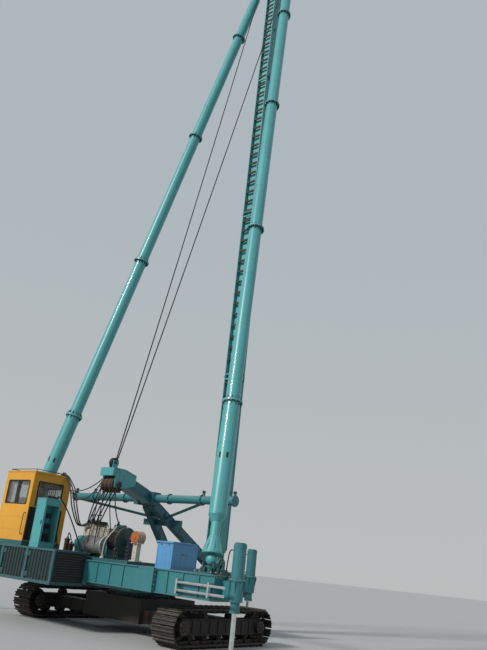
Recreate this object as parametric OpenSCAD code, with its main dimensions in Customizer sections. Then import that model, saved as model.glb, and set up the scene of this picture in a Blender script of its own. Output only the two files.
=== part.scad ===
// Pile driver rig: a tall box mast held by two raking tube stays, on a crawler base
// with four ground jacks. Millimetres. +X is forward, +Y is left and +Z is up. The
// origin is on the ground under the middle of the whole machine.

/* [Mast] */
// Height of the mast's foot pin above the ground
pivot_z = 1560; // [1540:10:1640]
// Height of the top of the box column
mast_top_z = 27800; // [26800:100:28600]
// Width of the box column, side to side
mast_w = 370; // [340:10:420]
// Depth of the box column, front to back
mast_d = 290; // [260:10:340]
// Length of each bolted column section
section_l = 5300; // [5000:50:5600]
// Depth of the rear channel's flanges
channel_d = 110; // [90:5:140]
// Thickness of the rear channel's flanges
channel_t = 25; // [15:1:35]
// Spacing of the ladder rungs
rung_pitch = 350; // [300:10:400]
// Height of a ladder rung, a flat bar
rung_h = 50; // [30:1:60]
// Thickness of a ladder rung
rung_t = 30; // [20:1:40]
// Diameter of the front guide tubes
rail_d = 60; // [50:1:75]
// Spacing of the front guide tubes, centre to centre
rail_gap = 300; // [260:5:330]
// Diameter of the foot pin
foot_pin_d = 120; // [90:5:140]

/* [Crown] */
// Reach of the crown beam in front of the mast axis
crown_front = 900; // [800:10:1000]
// Reach of the crown beam behind the mast axis
crown_rear = 880; // [780:10:960]
// Height of the crown beam
crown_h = 200; // [170:10:240]
// Diameter of the crown sheaves
crown_sheave_d = 260; // [220:10:300]

/* [Stays] */
// Distance of the crossarm pins below the topmost section joint
crossarm_drop = 600; // [500:50:1500]
// Distance of the crossarm pins behind the mast axis
crossarm_back = 100; // [80:5:120]
// Half spread of the crossarm pins
crossarm_y = 620; // [580:10:680]
// Distance of the stay feet behind the mast axis
foot_back = 3850; // [3780:10:3920]
// Half spread of the stay feet
foot_y = 3150; // [3000:10:3250]
// Diameter of a stay tube
stay_d = 325; // [290:5:350]
// Diameter of the lowest stay section
stay_low_d = 360; // [352:2:380]
// Diameter of a stay's flange ring
ring_d = 450; // [400:5:480]
// Thickness of a stay's flange ring
ring_t = 50; // [40:2:60]
// Diameter of the ball on a stay's foot
ball_d = 220; // [200:5:240]
// Height of the ball's centre above its beam
ball_h = 260; // [240:5:280]

/* [Tracks] */
// Length of a track over the lugs
track_l = 3200; // [2900:50:3400]
// Height of a track over the lugs
track_h = 750; // [700:10:780]
// Width of a track shoe
shoe_w = 600; // [500:10:700]
// Half spread of the two tracks
track_y = 2300; // [2200:10:2400]
// Distance of the tracks' middle behind the mast axis
track_back = 2500; // [2400:10:2600]
// Target length of a track shoe
shoe_pitch = 170; // [150:5:200]
// Thickness of a shoe plate
shoe_t = 25; // [20:1:30]
// Height of a shoe's lug
lug_h = 35; // [25:1:45]
// Height of the chain links under the shoes
link_h = 65; // [55:1:75]

/* [Platform] */
// Height of the platform's underside
frame_z = 850; // [820:5:880]
// Height of the deck above the ground
deck_z = 1390; // [1370:5:1410]
// Reach of the rear deck behind the mast axis
rear_reach = 5100; // [5000:10:5200]
// Distance of the rear beam's back face behind the mast axis
beam_back = 4240; // [4200:10:4280]
// Width of the rear beam, front to back
beam_w = 580; // [560:10:600]
// Half length of the rear beam
beam_half = 3600; // [3560:10:3620]
// Height of the rear beam
beam_h = 440; // [400:10:460]
// Width of a long girder
girder_w = 250; // [200:10:300]
// Half spread of the long girders
girder_y = 750; // [700:10:800]
// Half length of the front beam
front_half = 1120; // [1090:10:1130]
// Height of the rear deck's top
rear_deck_z = 1530; // [1510:5:1550]
// Width of the rear deck from the machine's centre line to the left
rear_deck_w = 2750; // [2700:10:2850]

/* [Jacks] */
// Distance of the rear jacks behind the mast axis
jack_back = 3950; // [3920:5:3980]
// Half spread of the rear jacks
jack_y = 3900; // [3870:5:3940]
// Distance of the front jacks behind the mast axis
front_jack_back = 100; // [80:5:120]
// Half spread of the front jacks
front_jack_y = 1250; // [1230:5:1270]
// Outer diameter of a jack tube
jack_tube_d = 170; // [150:2:180]
// Diameter of the thick upper part of a jack tube
jack_head_d = 240; // [220:5:260]
// Diameter of a jack rod
jack_rod_d = 90; // [80:1:100]
// Diameter of a ground pad
pad_d = 460; // [400:10:480]
// Stroke of a jack
jack_stroke = 450; // [350:10:480]

/* [Gantry] */
// Distance of the gantry's feet behind the mast axis
gantry_foot_back = 900; // [860:10:980]
// Half spread of the gantry's feet
gantry_foot_y = 700; // [660:5:720]
// Distance of the gantry's head behind the mast axis
gantry_head_back = 3950; // [3900:10:4000]
// Height of the gantry's head
gantry_head_z = 3280; // [3200:10:3350]
// Depth of a gantry leg
leg_t = 180; // [150:5:200]
// Width of a gantry leg
leg_w = 140; // [110:5:160]
// Diameter of the cross tube
cross_tube_d = 180; // [160:5:200]
// Half length of the cross tube
cross_tube_half = 2700; // [2600:10:2750]
// Diameter of the head sheaves
head_sheave_d = 340; // [300:10:360]

/* [Cab] */
// Length of the cab, front to back
cab_l = 1040; // [980:10:1060]
// Width of the cab
cab_w = 1100; // [1000:10:1110]
// Height of the cab's walls above its floor
cab_h = 1490; // [1400:10:1600]
// Distance of the cab's back wall behind the mast axis
cab_back_x = 4890; // [4850:10:4930]
// Distance of the cab's left wall from the deck's left edge
cab_side_gap = 110; // [80:5:140]
// Outer radius of the cab's rounded front top edge
cab_round = 240; // [210:5:250]
// Thickness of a cab wall
cab_wall = 50; // [40:1:60]
// Thickness of the cab's floor
cab_floor_t = 100; // [80:5:110]

/* [Equipment] */
// Height of the tool chest with its lid
chest_h = 550; // [500:10:600]
// Length of the tool chest
chest_l = 740; // [650:10:760]
// Width of the tool chest
chest_w = 430; // [380:10:460]
// Flange diameter of the main winch drum
main_drum_d = 420; // [380:10:440]
// Flange diameter of the second winch drum
aux_drum_d = 380; // [340:10:420]
// Diameter of the brake wheel
brake_wheel_d = 580; // [500:10:620]
// Height of the main winch shaft above the deck
shaft_h = 310; // [290:10:340]
// Height of the second winch shaft above the deck
aux_shaft_h = 425; // [405:5:440]
// Height of the gearbox above the winch base
gearbox_h = 640; // [560:10:680]
// Height of the valve cabinet
cabinet_h = 1020; // [950:10:1100]

/* [Hidden] */
$fn = 48;
// Gap between a piece and the seat that carries it
seat_gap = 0.3;
// Radial clearance of a shaft in its bore
run_gap = 0.05;
// Gap between two pieces that move past each other
side_gap = 5;
teal = [0.16, 0.55, 0.58];
dark_teal = [0.08, 0.33, 0.36];
silver = [0.72, 0.74, 0.76];
black = [0.06, 0.06, 0.07];
yellow = [0.9, 0.62, 0.13];
rust = [0.45, 0.24, 0.13];

// The mast axis lies so that the machine's box is centred on the origin.
mast_x = (rear_reach - crown_front) / 2;
col_z = pivot_z + 300;
crossarm_z = mast_top_z - section_l - crossarm_drop;
foot_r = 130;
beam_x = [mast_x - beam_back, mast_x - beam_back + beam_w];
front_x = [mast_x - 350, mast_x + 145];
plate_t = 20;
girder_x = [beam_x[1], front_x[0]];

// Box between two corners, given as a range on each axis
module block(x, y, z) {
  translate([x[0], y[0], z[0]]) cube([x[1] - x[0], y[1] - y[0], z[1] - z[0]]);
}

// Cylinder along Y at a place [x, z]
module rod_y(r, at, y) {
  translate([at[0], y[0], at[1]]) rotate([-90, 0, 0]) cylinder(r = r, h = y[1] - y[0]);
}

// Cylinder along X at a place [y, z]
module rod_x(r, at, x) {
  translate([x[0], at[0], at[1]]) rotate([0, 90, 0]) cylinder(r = r, h = x[1] - x[0]);
}

// Puts its children at p with their Z axis pointing to q and their Y axis nearly level
module aim(p, q) {
  d = q - p;
  translate(p) rotate([-asin(d[1] / norm(d)), atan2(d[0], d[2]), 0]) children();
}

// Its children and their mirror image on the right side
module both_sides() {
  children();
  mirror([0, 1, 0]) children();
}

// Grooved wheel about its own Z axis
module sheave(r, w, bore_r, groove) {
  rotate_extrude() polygon([[bore_r, -w / 2], [r, -w / 2], [r, -w / 3], [r - groove, 0],
    [r, w / 3], [r, w / 2], [bore_r, w / 2]]);
}

// Crawler tracks. The loop is a stadium: r is its end radius at the links' outer face.
loop_r = track_h / 2 - shoe_t - lug_h;
loop_l = track_l - track_h;
loop_len = 2 * loop_l + 2 * PI * loop_r;
shoe_n = round(loop_len / shoe_pitch);
pitch = loop_len / shoe_n;
inner_r = loop_r - link_h;
// Outline of one shoe: [share of the pitch, height above the links]
shoe_profile = [[0.03, 0.4 * shoe_t], [0.07, shoe_t], [0.40, shoe_t], [0.44, shoe_t + lug_h],
  [0.56, shoe_t + lug_h], [0.60, shoe_t], [0.93, shoe_t], [0.97, 0.4 * shoe_t]];

// Point of the loop, s along it from the rear of the ground run, off outward
function loop_point(s, off) = let (arc = PI * loop_r, r = loop_r + off)
  s < loop_l ? [s - loop_l / 2, -r]
  : s < loop_l + arc ? let (a = -90 + (s - loop_l) / arc * 180)
    [loop_l / 2 + r * cos(a), r * sin(a)]
  : s < 2 * loop_l + arc ? [loop_l / 2 - (s - loop_l - arc), r]
  : let (a = 90 + (s - 2 * loop_l - arc) / arc * 180) [-loop_l / 2 + r * cos(a), r * sin(a)];

module loop_hole(r) {
  square([loop_l, 2 * r], center = true);
  for (end = [-1, 1]) translate([end * loop_l / 2, 0]) circle(r = r);
}

module at_track(side) {
  translate([mast_x - track_back, side * track_y, track_h / 2]) rotate([90, 0, 0]) children();
}

module track(side) {
  color(black) at_track(side) linear_extrude(shoe_w, center = true) difference() {
    polygon([for (i = [0 : shoe_n - 1]) for (p = shoe_profile)
      loop_point((i + p[0]) * pitch, p[1])]);
    loop_hole(inner_r);
  }
}

module track_left() track(1);
module track_right() track(-1);

frame_beam_w = 300;
roller_r = 80;
roller_n = 5;

// Side frame with its end wheels and its rollers, inside the track's loop
module track_frame(side) {
  wheel_r = inner_r - seat_gap;
  color(black) at_track(side) {
    cube([loop_l, 300, frame_beam_w], center = true);
    for (end = [-1, 1]) translate([end * loop_l / 2, 0, 0]) {
      cylinder(r = wheel_r, h = 120, center = true);
      cylinder(r = 110, h = shoe_w - 120, center = true);
    }
    for (i = [0 : roller_n - 1])
      translate([(i - (roller_n - 1) / 2) * loop_l / (roller_n + 0.6), 0, 0]) {
        translate([0, roller_r - wheel_r, 0]) cylinder(r = roller_r, h = 220, center = true);
        if (i % 2 == 1)
          translate([0, wheel_r - roller_r, 0]) cylinder(r = roller_r, h = 180, center = true);
      }
  }
}

module track_frame_left() track_frame(1);
module track_frame_right() track_frame(-1);

// Base between the tracks: two cross boxes and a centre box under the turntable
body_x = mast_x - track_back;
body_top = frame_z - 130;
// Height range of the two cross boxes
cross_box_z = [250, 500];
cross_half = track_y - frame_beam_w / 2;

module car_body() {
  color(black) {
    for (end = [-1, 1])
      block([body_x + end * 600 - 150, body_x + end * 600 + 150], [-cross_half, cross_half], cross_box_z);
    block([body_x - 850, body_x + 850], [-900, 900], [230, body_top]);
  }
}

module turntable() {
  color(dark_teal) translate([body_x, 0, body_top]) {
    cylinder(r = 760, h = 60);
    cylinder(r = 700, h = frame_z - body_top);
  }
}

// Platform: two long girders tied by cross members
module main_frame() {
  color(teal) {
    both_sides() block(girder_x, [girder_y - girder_w / 2, girder_y + girder_w / 2],
      [frame_z, deck_z - plate_t]);
    for (x = [girder_x[0] + 250, body_x - 150, body_x + 900, girder_x[1] - 250])
      block([x - 100, x + 100], [-girder_y, girder_y], [frame_z, deck_z - plate_t - 100]);
  }
}

wing_y = 2400;
wing_l = 660;

module deck_plate() {
  color(dark_teal) {
    block(girder_x, [-girder_y - girder_w / 2 - 80, girder_y + girder_w / 2 + 80], [deck_z - plate_t, deck_z]);
    both_sides() {
      block([girder_x[0], girder_x[0] + wing_l], [girder_y + girder_w / 2 + 80, wing_y],
        [deck_z - plate_t, deck_z]);
      for (x = [girder_x[0], girder_x[0] + wing_l - 60])
        block([x, x + 60], [girder_y + girder_w / 2 + 80, wing_y], [deck_z - 120, deck_z - plate_t]);
    }
  }
}

// Deck behind the rear beam, on the left half only
rear_x = [mast_x - rear_reach, beam_x[0]];

module rear_deck() {
  color(teal) {
    block([rear_x[0] + 40, rear_x[1]], [30, rear_deck_w - 40], [frame_z + 60, rear_deck_z - 40]);
    block(rear_x, [0, rear_deck_w], [rear_deck_z - 40, rear_deck_z]);
    block([rear_x[0], rear_x[1]], [0, rear_deck_w], [frame_z, frame_z + 60]);
    for (y = [0, rear_deck_w / 3, 2 * rear_deck_w / 3, rear_deck_w - 60])
      block([rear_x[0], rear_x[0] + 40], [y, y + 60], [frame_z + 60, rear_deck_z - 40]);
  }
}

jack_r = jack_tube_d / 2;
collar_z = [deck_z - beam_h + 30, deck_z - 60];

// Beam between the two jacks of a side, with a collar at each end
module jack_beam(x, half, bottom, jack_at, jack_half) {
  difference() {
    union() {
      block(x, [-half, half], [bottom, deck_z]);
      both_sides() block([jack_at - 100, jack_at + 100], [half - 1, jack_half - jack_r - 10],
        [collar_z[0] + 20, collar_z[1] - 20]);
      both_sides() translate([jack_at, jack_half, collar_z[0]])
        cylinder(r = jack_r + 45, h = collar_z[1] - collar_z[0]);
    }
    both_sides() translate([jack_at, jack_half, frame_z - 1])
      cylinder(r = jack_r + seat_gap, h = deck_z - frame_z + 2);
  }
}

jack_x = mast_x - jack_back;
front_jack_x = mast_x - front_jack_back;

// The rear beam's joint flange, and the box beside it, on the back face's right half
joint_flange_y = [-2130, -2095];
step_box_y = [-2096, -1620];

module rear_beam() {
  color(teal) {
    jack_beam(beam_x, beam_half, deck_z - beam_h, jack_x, jack_y);
    block([beam_x[0] - 90, beam_x[0] + 1], joint_flange_y, [deck_z - beam_h, deck_z]);
    block([beam_x[0] - 70, beam_x[0] + 1], step_box_y, [deck_z - beam_h, deck_z - 60]);
  }
}

// Towing eyes on the front beam's face, each a plate with a shackle hole
eye_plate_y = [680, 720];
tow_eye_at = [front_x[1] + 100, frame_z + 270];
tow_hole_r = 30;

module front_beam() {
  color(teal) {
    jack_beam(front_x, front_half, frame_z, front_jack_x, front_jack_y);
    both_sides() difference() {
      union() {
        block([front_x[1] - 1, tow_eye_at[0]], eye_plate_y, [tow_eye_at[1] - 80, tow_eye_at[1] + 80]);
        rod_y(80, tow_eye_at, eye_plate_y);
      }
      rod_y(tow_hole_r, tow_eye_at, [eye_plate_y[0] - 1, eye_plate_y[1] + 1]);
    }
  }
}

// Jack tubes: each hangs by a flange on its collar and is open below
tube_z = [frame_z - 50, deck_z + 600];
bore_r = jack_rod_d / 2 + 8;

// The four jack places: [x, y]
jack_places = [[jack_x, jack_y], [jack_x, -jack_y], [front_jack_x, front_jack_y],
  [front_jack_x, -front_jack_y]];

module jack_tubes() {
  color(teal) for (p = jack_places) translate([p[0], p[1], 0]) difference() {
    union() {
      translate([0, 0, tube_z[0]]) cylinder(r = jack_r, h = tube_z[1] - tube_z[0]);
      translate([0, 0, collar_z[1]]) cylinder(r = jack_head_d / 2, h = tube_z[1] - collar_z[1] - 20);
    }
    translate([0, 0, tube_z[0] + 40]) cylinder(r = bore_r, h = tube_z[1] - tube_z[0] - 80);
    translate([0, 0, tube_z[0] - 1]) cylinder(r = jack_rod_d / 2 + run_gap, h = 42);
  }
}

pad_t = 60;

// Jack rod with its piston and its ground pad
module jack_rod(i) {
  piston_z = tube_z[1] - 40 - jack_stroke - 100;
  color(silver) translate([jack_places[i][0], jack_places[i][1], 0]) {
    translate([0, 0, pad_t]) cylinder(r = jack_rod_d / 2, h = piston_z - pad_t + 10);
    translate([0, 0, piston_z]) cylinder(r = bore_r - 1, h = 80);
    cylinder(r = pad_d / 2, h = pad_t);
    translate([0, 0, pad_t]) cylinder(r1 = 110, r2 = jack_rod_d / 2, h = 90);
  }
}

module jack_rod_rear_left() jack_rod(0);
module jack_rod_rear_right() jack_rod(1);
module jack_rod_front_left() jack_rod(2);
module jack_rod_front_right() jack_rod(3);

// Bright guide rods on the rear beam's ends, behind each jack collar
rod_y0 = rear_deck_w + 50;

module slide_rods() {
  color(silver) both_sides() for (z = [deck_z - beam_h + 110, deck_z - beam_h + 250])
    rod_y(26, [beam_x[0] - 60, z], [rod_y0, jack_y]);
  color(teal) both_sides() for (y = [rod_y0 - 40, beam_half - 60])
    block([beam_x[0] - 110, beam_x[0]], [y, y + 40], [deck_z - beam_h + 50, deck_z - beam_h + 310]);
}

// Stay feet and heads
foot_at = [mast_x - foot_back, foot_y, deck_z + ball_h];
head_at = [mast_x - crossarm_back, crossarm_y, crossarm_z];
stay_l = norm(head_at - foot_at);
ball_r = ball_d / 2;
eye_w = 80;
eye_r = 110;
eye_pin_r = 40;

module stay_sockets() {
  seat_top = foot_at[2] - ball_r - seat_gap;
  cheek_top = foot_at[2] - 0.55 * ball_r;
  color(dark_teal) both_sides() translate([foot_at[0], foot_at[1], 0]) {
    block([-240, 240], [-230, 230], [deck_z, deck_z + 30]);
    translate([0, 0, deck_z + 30]) cylinder(r = 120, h = seat_top - deck_z - 30);
    for (a = [0 : 45 : 135]) translate([0, 0, deck_z + 30]) rotate([0, 0, a])
      block([-190, 190], [-10, 10], [0, seat_top - deck_z - 60]);
    for (side = [-1, 1]) translate([0, side * (ball_r + side_gap + 15), 0])
      block([-90, 90], [-15, 15], [deck_z + 30, cheek_top]);
  }
}

// Stay flange rings: shares of the stay's length
ring_at = [0.16, 0.40, 0.636, 0.86];

module stay(side) {
  foot = [foot_at[0], side * foot_at[1], foot_at[2]];
  head = [head_at[0], side * head_at[1], head_at[2]];
  difference() {
    union() {
      color(teal) aim(foot, head) {
        sphere(r = ball_r);
        translate([0, 0, ball_r * 0.9]) cylinder(r = 205, h = 30);
        translate([0, 0, ball_r * 0.9 + 30]) cylinder(r1 = 190, r2 = 110, h = 300);
        translate([0, 0, 400]) cylinder(r = 100, h = 320);
        translate([0, 0, 700]) cylinder(r1 = 100, r2 = stay_low_d / 2, h = 140);
        translate([0, 0, 840]) cylinder(r = stay_low_d / 2, h = ring_at[0] * stay_l - 840);
        translate([0, 0, ring_at[0] * stay_l])
          cylinder(r = stay_d / 2, h = (1 - ring_at[0]) * stay_l - 900);
        translate([0, 0, stay_l - 900]) cylinder(r1 = stay_d / 2, r2 = 90, h = 300);
        block([-80, 80], [-eye_w / 2, eye_w / 2], [stay_l - 640, stay_l - 40]);
      }
      color(dark_teal) aim(foot, head) for (t = ring_at)
        translate([0, 0, t * stay_l - ring_t / 2]) cylinder(r = ring_d / 2, h = ring_t);
      color(dark_teal) rod_y(eye_r, [head[0], head[2]], [head[1] - eye_w / 2, head[1] + eye_w / 2]);
    }
    rod_y(eye_pin_r + run_gap, [head[0], head[2]], [head[1] - 150, head[1] + 150]);
  }
}

module stay_left() stay(1);
module stay_right() stay(-1);

// Mast foot bracket on the front beam, with its pin
lug_w = 320;

module mast_bracket() {
  ear = [lug_w / 2 + side_gap, lug_w / 2 + side_gap + 50];
  color(dark_teal) {
    block([mast_x - 230, mast_x + 145], [-330, 330], [deck_z, deck_z + 30]);
    both_sides() {
      rod_y(140, [mast_x, pivot_z], ear);
      block([mast_x - 140, mast_x + 140], ear, [deck_z + 30, pivot_z]);
      block([mast_x - 30, mast_x + 30], [ear[1], 300], [deck_z + 30, pivot_z]);
    }
    rod_y(foot_pin_d / 2, [mast_x, pivot_z], [-ear[1] - 20, ear[1] + 20]);
  }
}

module mast_column() {
  color(teal) difference() {
    union() {
      block([mast_x - mast_d / 2, mast_x + mast_d / 2], [-mast_w / 2, mast_w / 2], [col_z, mast_top_z]);
      rod_y(foot_r, [mast_x, pivot_z], [-lug_w / 2, lug_w / 2]);
      block([mast_x - foot_r, mast_x + foot_r], [-lug_w / 2, lug_w / 2], [pivot_z, col_z + 1]);
    }
    rod_y(foot_pin_d / 2 + run_gap, [mast_x, pivot_z], [-lug_w, lug_w]);
  }
}

// Rear channel of the mast with its ladder rungs
rung_n = floor((mast_top_z - col_z - rung_pitch) / rung_pitch);

rung_set = 15;
// Half the distance between the two end bars at a section joint
joint_bar_gap = 75;
section_n = floor((mast_top_z - pivot_z) / section_l - 0.2);

module rung(x, z) {
  block([x, x + rung_t], [-mast_w / 2 + channel_t / 2, mast_w / 2 - channel_t / 2],
    [z - rung_h / 2, z + rung_h / 2]);
}

module mast_channel() {
  x = [mast_x - mast_d / 2 - channel_d, mast_x - mast_d / 2];
  color(teal) both_sides() block(x, [mast_w / 2 - channel_t, mast_w / 2], [col_z, mast_top_z]);
  color(dark_teal) {
    for (i = [1 : rung_n]) rung(x[0] + rung_set, col_z + i * rung_pitch);
    for (i = [1 : section_n], end = [-1, 1])
      rung(x[0] + rung_set, mast_top_z - i * section_l + end * joint_bar_gap);
  }
}

// Front guide tubes, each on a web
module mast_rails() {
  x = mast_x + mast_d / 2;
  color(teal) both_sides() {
    translate([x + 15 + rail_d / 2, rail_gap / 2, col_z + 40])
      cylinder(r = rail_d / 2, h = mast_top_z - col_z - 340);
    block([x, x + 15 + rail_d / 2], [rail_gap / 2 - 6, rail_gap / 2 + 6], [col_z + 40, mast_top_z - 300]);
  }
}

// Bolted joint plates on the mast's sides
module mast_flanges() {
  color(dark_teal) both_sides() for (i = [1 : section_n]) {
    z = mast_top_z - i * section_l;
    block([mast_x - mast_d / 2, mast_x + mast_d / 2], [mast_w / 2, mast_w / 2 + 45], [z - 30, z + 30]);
    for (x = [-1, 0, 1])
      block([mast_x + x * (mast_d / 2 - 10) - 8, mast_x + x * (mast_d / 2 - 10) + 8],
        [mast_w / 2, mast_w / 2 + 35], [z - 130, z + 130]);
  }
}

// Crossarm: on each side a cheek on the mast, an arm and a clevis with its pin
module crossarm() {
  inner = crossarm_y - 65;
  outer = crossarm_y + 65;
  color(black) both_sides() {
    block([mast_x - mast_d / 2, mast_x + mast_d / 2], [mast_w / 2, mast_w / 2 + 25],
      [crossarm_z - 350, crossarm_z + 350]);
    block([mast_x - crossarm_back - 40, mast_x + 100], [mast_w / 2, inner - 30],
      [crossarm_z - 110, crossarm_z + 110]);
    block([mast_x - crossarm_back + eye_r + 45, mast_x + 100], [mast_w / 2, outer + 40],
      [crossarm_z - 110, crossarm_z + 110]);
    for (y = [[inner - 30, inner], [outer, outer + 40]]) {
      rod_y(130, [head_at[0], head_at[2]], y);
      block([head_at[0], mast_x + 100], y, [crossarm_z - 110, crossarm_z + 110]);
    }
    rod_y(eye_pin_r, [head_at[0], head_at[2]], [inner - 5, outer + 30]);
  }
}

crown_z = mast_top_z + 40;
crown_r = crown_sheave_d / 2;
// The crown's sheave axles: [distance ahead of the mast axis, height]
crown_axles = [[crown_r - crown_rear + 20, crown_z + crown_h / 2],
  [crown_front - crown_r, crown_z + crown_h / 2]];
axle_r = 30;
sheave_w = 90;

module crown_beam() {
  inner = sheave_w / 2 + side_gap;
  color(teal) {
    block([mast_x - mast_d / 2 - 60, mast_x + mast_d / 2 + 60], [-mast_w / 2 - 30, mast_w / 2 + 30],
      [mast_top_z, crown_z]);
    both_sides() block([mast_x - crown_rear, mast_x + crown_front - 20], [inner, inner + 20],
      [crown_z, crown_z + crown_h]);
    for (x = [-400, 250]) block([mast_x + x, mast_x + x + 150], [-inner, inner], [crown_z, crown_z + crown_h]);
    block([mast_x - 150, mast_x + 150], [-inner, inner], [crown_z, crown_z + 60]);
    both_sides() {
      block([mast_x + mast_d / 2, mast_x + mast_d / 2 + 60], [inner, inner + 20],
        [mast_top_z - 700, mast_top_z - 540]);
      aim([mast_x + mast_d / 2, inner + 10, mast_top_z - 620],
        [mast_x + crown_front - 260, inner + 10, crown_z + 60]) block([-25, 25], [-7, 7], [50, 850]);
    }
  }
  color(black) {
    for (a = crown_axles) rod_y(axle_r, [mast_x + a[0], a[1]], [-inner - 35, inner + 35]);
    both_sides() block([mast_x - crown_rear + 20, mast_x - crown_rear + 220], [inner, inner + 30],
      [crown_z + crown_h, crown_z + crown_h + 160]);
    block([mast_x - crown_rear + 20, mast_x - crown_rear + 220], [-inner, inner],
      [crown_z + crown_h + 70, crown_z + crown_h + 160]);
  }
}

module crown_sheave(i) {
  color(black) translate([mast_x + crown_axles[i][0], 0, crown_axles[i][1]]) rotate([90, 0, 0])
    sheave(crown_r, sheave_w, axle_r + run_gap, 25);
}

module crown_sheave_rear() crown_sheave(0);
module crown_sheave_front() crown_sheave(1);

// Gantry: two legs that rise backwards into one box, with the head on its end
gantry_head = [mast_x - gantry_head_back, 0, gantry_head_z];
gantry_merge = gantry_head + [1150, 0, -410];
box_tip = gantry_head + [330, 0, -150];
box_t = 240;
// Half the inner width of the head, and the thickness of its cheeks
head_half = 195;
cheek_t = 25;
// Half the height of the head's top box
head_box_h = 90;
head_r = head_sheave_d / 2;
head_sheave_w = (head_half - side_gap - 1) * 2 / 3;
head_axle = [gantry_head[0] + 60, gantry_head_z - head_box_h - head_r - 2 * side_gap];
top_r = 110;
top_axle = [gantry_head[0] + 10, gantry_head_z + head_box_h + top_r + 3 * side_gap];
// The left leg's line along its middle
leg_low = [mast_x - gantry_foot_back, gantry_foot_y, deck_z + 40];
leg_high = gantry_merge + [0, 50, 0];
// Place of the cross tube, which runs through the gantry's box
cross_tube_at = [gantry_merge[0] + 50, gantry_merge[2] - 10];
// Cross members between the legs: [share of the leg's length, half height, reach]
cross_members = [[0.65, 70, 600], [0.77, 50, 230]];
// Share of the leg's length at which the cross tube's braces stand
brace_t = 0.74;
saddle_y = 330;

function on_leg(t) = leg_low + t * (leg_high - leg_low);

module gantry_frame() {
  color(teal) difference() {
    union() {
      both_sides() aim(leg_low, leg_high)
        block([-leg_t / 2, leg_t / 2], [-leg_w / 2, leg_w / 2], [-200, norm(leg_high - leg_low) + 80]);
      both_sides() block([leg_low[0] - 150, leg_low[0] + 250], [gantry_foot_y - 150, gantry_foot_y + 150],
        [deck_z, deck_z + 40]);
      aim(gantry_merge, box_tip)
        block([-box_t / 2, box_t / 2], [-head_half, head_half], [-220, norm(box_tip - gantry_merge)]);
      for (m = cross_members) let (p = on_leg(m[0]))
        block([p[0] - 60, p[0] + 60], [-m[2], m[2]], [p[2] - m[1], p[2] + m[1]]);
      both_sides() block([cross_tube_at[0] - 110, cross_tube_at[0] + 110], [head_half - 1, saddle_y],
        [cross_tube_at[1] - 150, cross_tube_at[1] + 140]);
      both_sides() across([head_half - 1, head_half + cheek_t]) translate([gantry_head[0], gantry_head_z])
        polygon([[-150, head_box_h], [-150, -head_box_h], [-60, -head_box_h], [-60, -340], [200, -340],
          [560, -230], [560, 0], [200, head_box_h]]);
      block([gantry_head[0] - 150, gantry_head[0] + 200], [-head_half, head_half],
        [gantry_head_z - head_box_h, gantry_head_z + head_box_h]);
    }
    block(girder_x, [-wing_y, wing_y], [0, deck_z]);
    rod_y(cross_tube_d / 2 + seat_gap, cross_tube_at, [-saddle_y - 1, saddle_y + 1]);
  }
  color(dark_teal) {
    rod_y(45, head_axle, [-head_half - cheek_t - 20, head_half + cheek_t + 20]);
    both_sides() block([top_axle[0] - 70, top_axle[0] + 70], [45, 65],
      [gantry_head_z + head_box_h - 1, top_axle[1] + 50]);
    rod_y(20, top_axle, [-75, 75]);
  }
}

module head_sheaves() {
  color(rust) translate([head_axle[0], 0, head_axle[1]]) rotate([90, 0, 0])
    for (i = [-1, 0, 1]) translate([0, 0, i * head_sheave_w])
      sheave(head_r, head_sheave_w, 45 + run_gap, 30);
}

module top_sheave() {
  color(black) translate([top_axle[0], 0, top_axle[1]]) rotate([90, 0, 0])
    sheave(top_r, 80, 20 + run_gap, 20);
}

// Cross tube through the gantry with its prongs and its two braces
prong_y = [1900, 1750];
tube_joint_y = 750;
// Reach of the left and the right brace along the cross tube
brace_y = [2500, 1800];
brace_r = 32;

// Brace from the foot plate on a leg's outer face up to the cross tube
module tube_brace(reach) {
  low = on_leg(brace_t) + [0, leg_w / 2 + 50, 0];
  high = [cross_tube_at[0], reach, cross_tube_at[1] - 60];
  aim(low, high) cylinder(r = brace_r, h = norm(high - low));
  aim(on_leg(brace_t), leg_high)
    block([-50, 50], [leg_w / 2 + seat_gap, leg_w / 2 + 70], [-60, 60]);
}

module cross_tube() {
  color(teal) {
    rod_y(cross_tube_d / 2, cross_tube_at, [-cross_tube_half, cross_tube_half]);
    both_sides() for (y = [tube_joint_y, cross_tube_half - 20])
      rod_y(cross_tube_d / 2 + 30, cross_tube_at, [y - 20, y + 20]);
    for (i = [0, 1]) mirror([0, i, 0]) {
      for (y = [prong_y[i], cross_tube_half - 60])
        block([cross_tube_at[0] - 15, cross_tube_at[0] + 15], [y, y + 60],
          [cross_tube_at[1], cross_tube_at[1] + 190]);
      rod_y(cross_tube_d / 2 + 30, cross_tube_at, [prong_y[i] - 20, prong_y[i] + 20]);
      tube_brace(brace_y[i]);
    }
  }
}

// Cab: floor, four walls and roof, each a panel as thick as the wall
cab_x = [mast_x - cab_back_x, mast_x - cab_back_x + cab_l];
cab_y = [rear_deck_w - cab_side_gap - cab_w, rear_deck_w - cab_side_gap];
cab_z = [rear_deck_z + cab_floor_t, rear_deck_z + cab_floor_t + cab_h];
sill_z = cab_z[0] + 0.52 * cab_h;
head_z = cab_z[1] - 170;
// Height at which the front wall turns into the roof's rounding
turn_z = cab_z[1] + cab_wall - cab_round;
door_x = [cab_x[0] + 110, cab_x[1] - 120];
door_z = [cab_z[0] + 30, cab_z[1] - 110];
door_gap = 6;
hinge_r = 14;
hinge_at = [door_x[0] + 10, cab_y[1] + 20];
glass_t = 6;

module cab_floor() {
  color(dark_teal) {
    block(cab_x, cab_y, [rear_deck_z, cab_z[0]]);
    block([beam_x[0], cab_x[1]], cab_y, [deck_z, rear_deck_z]);
  }
}

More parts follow.
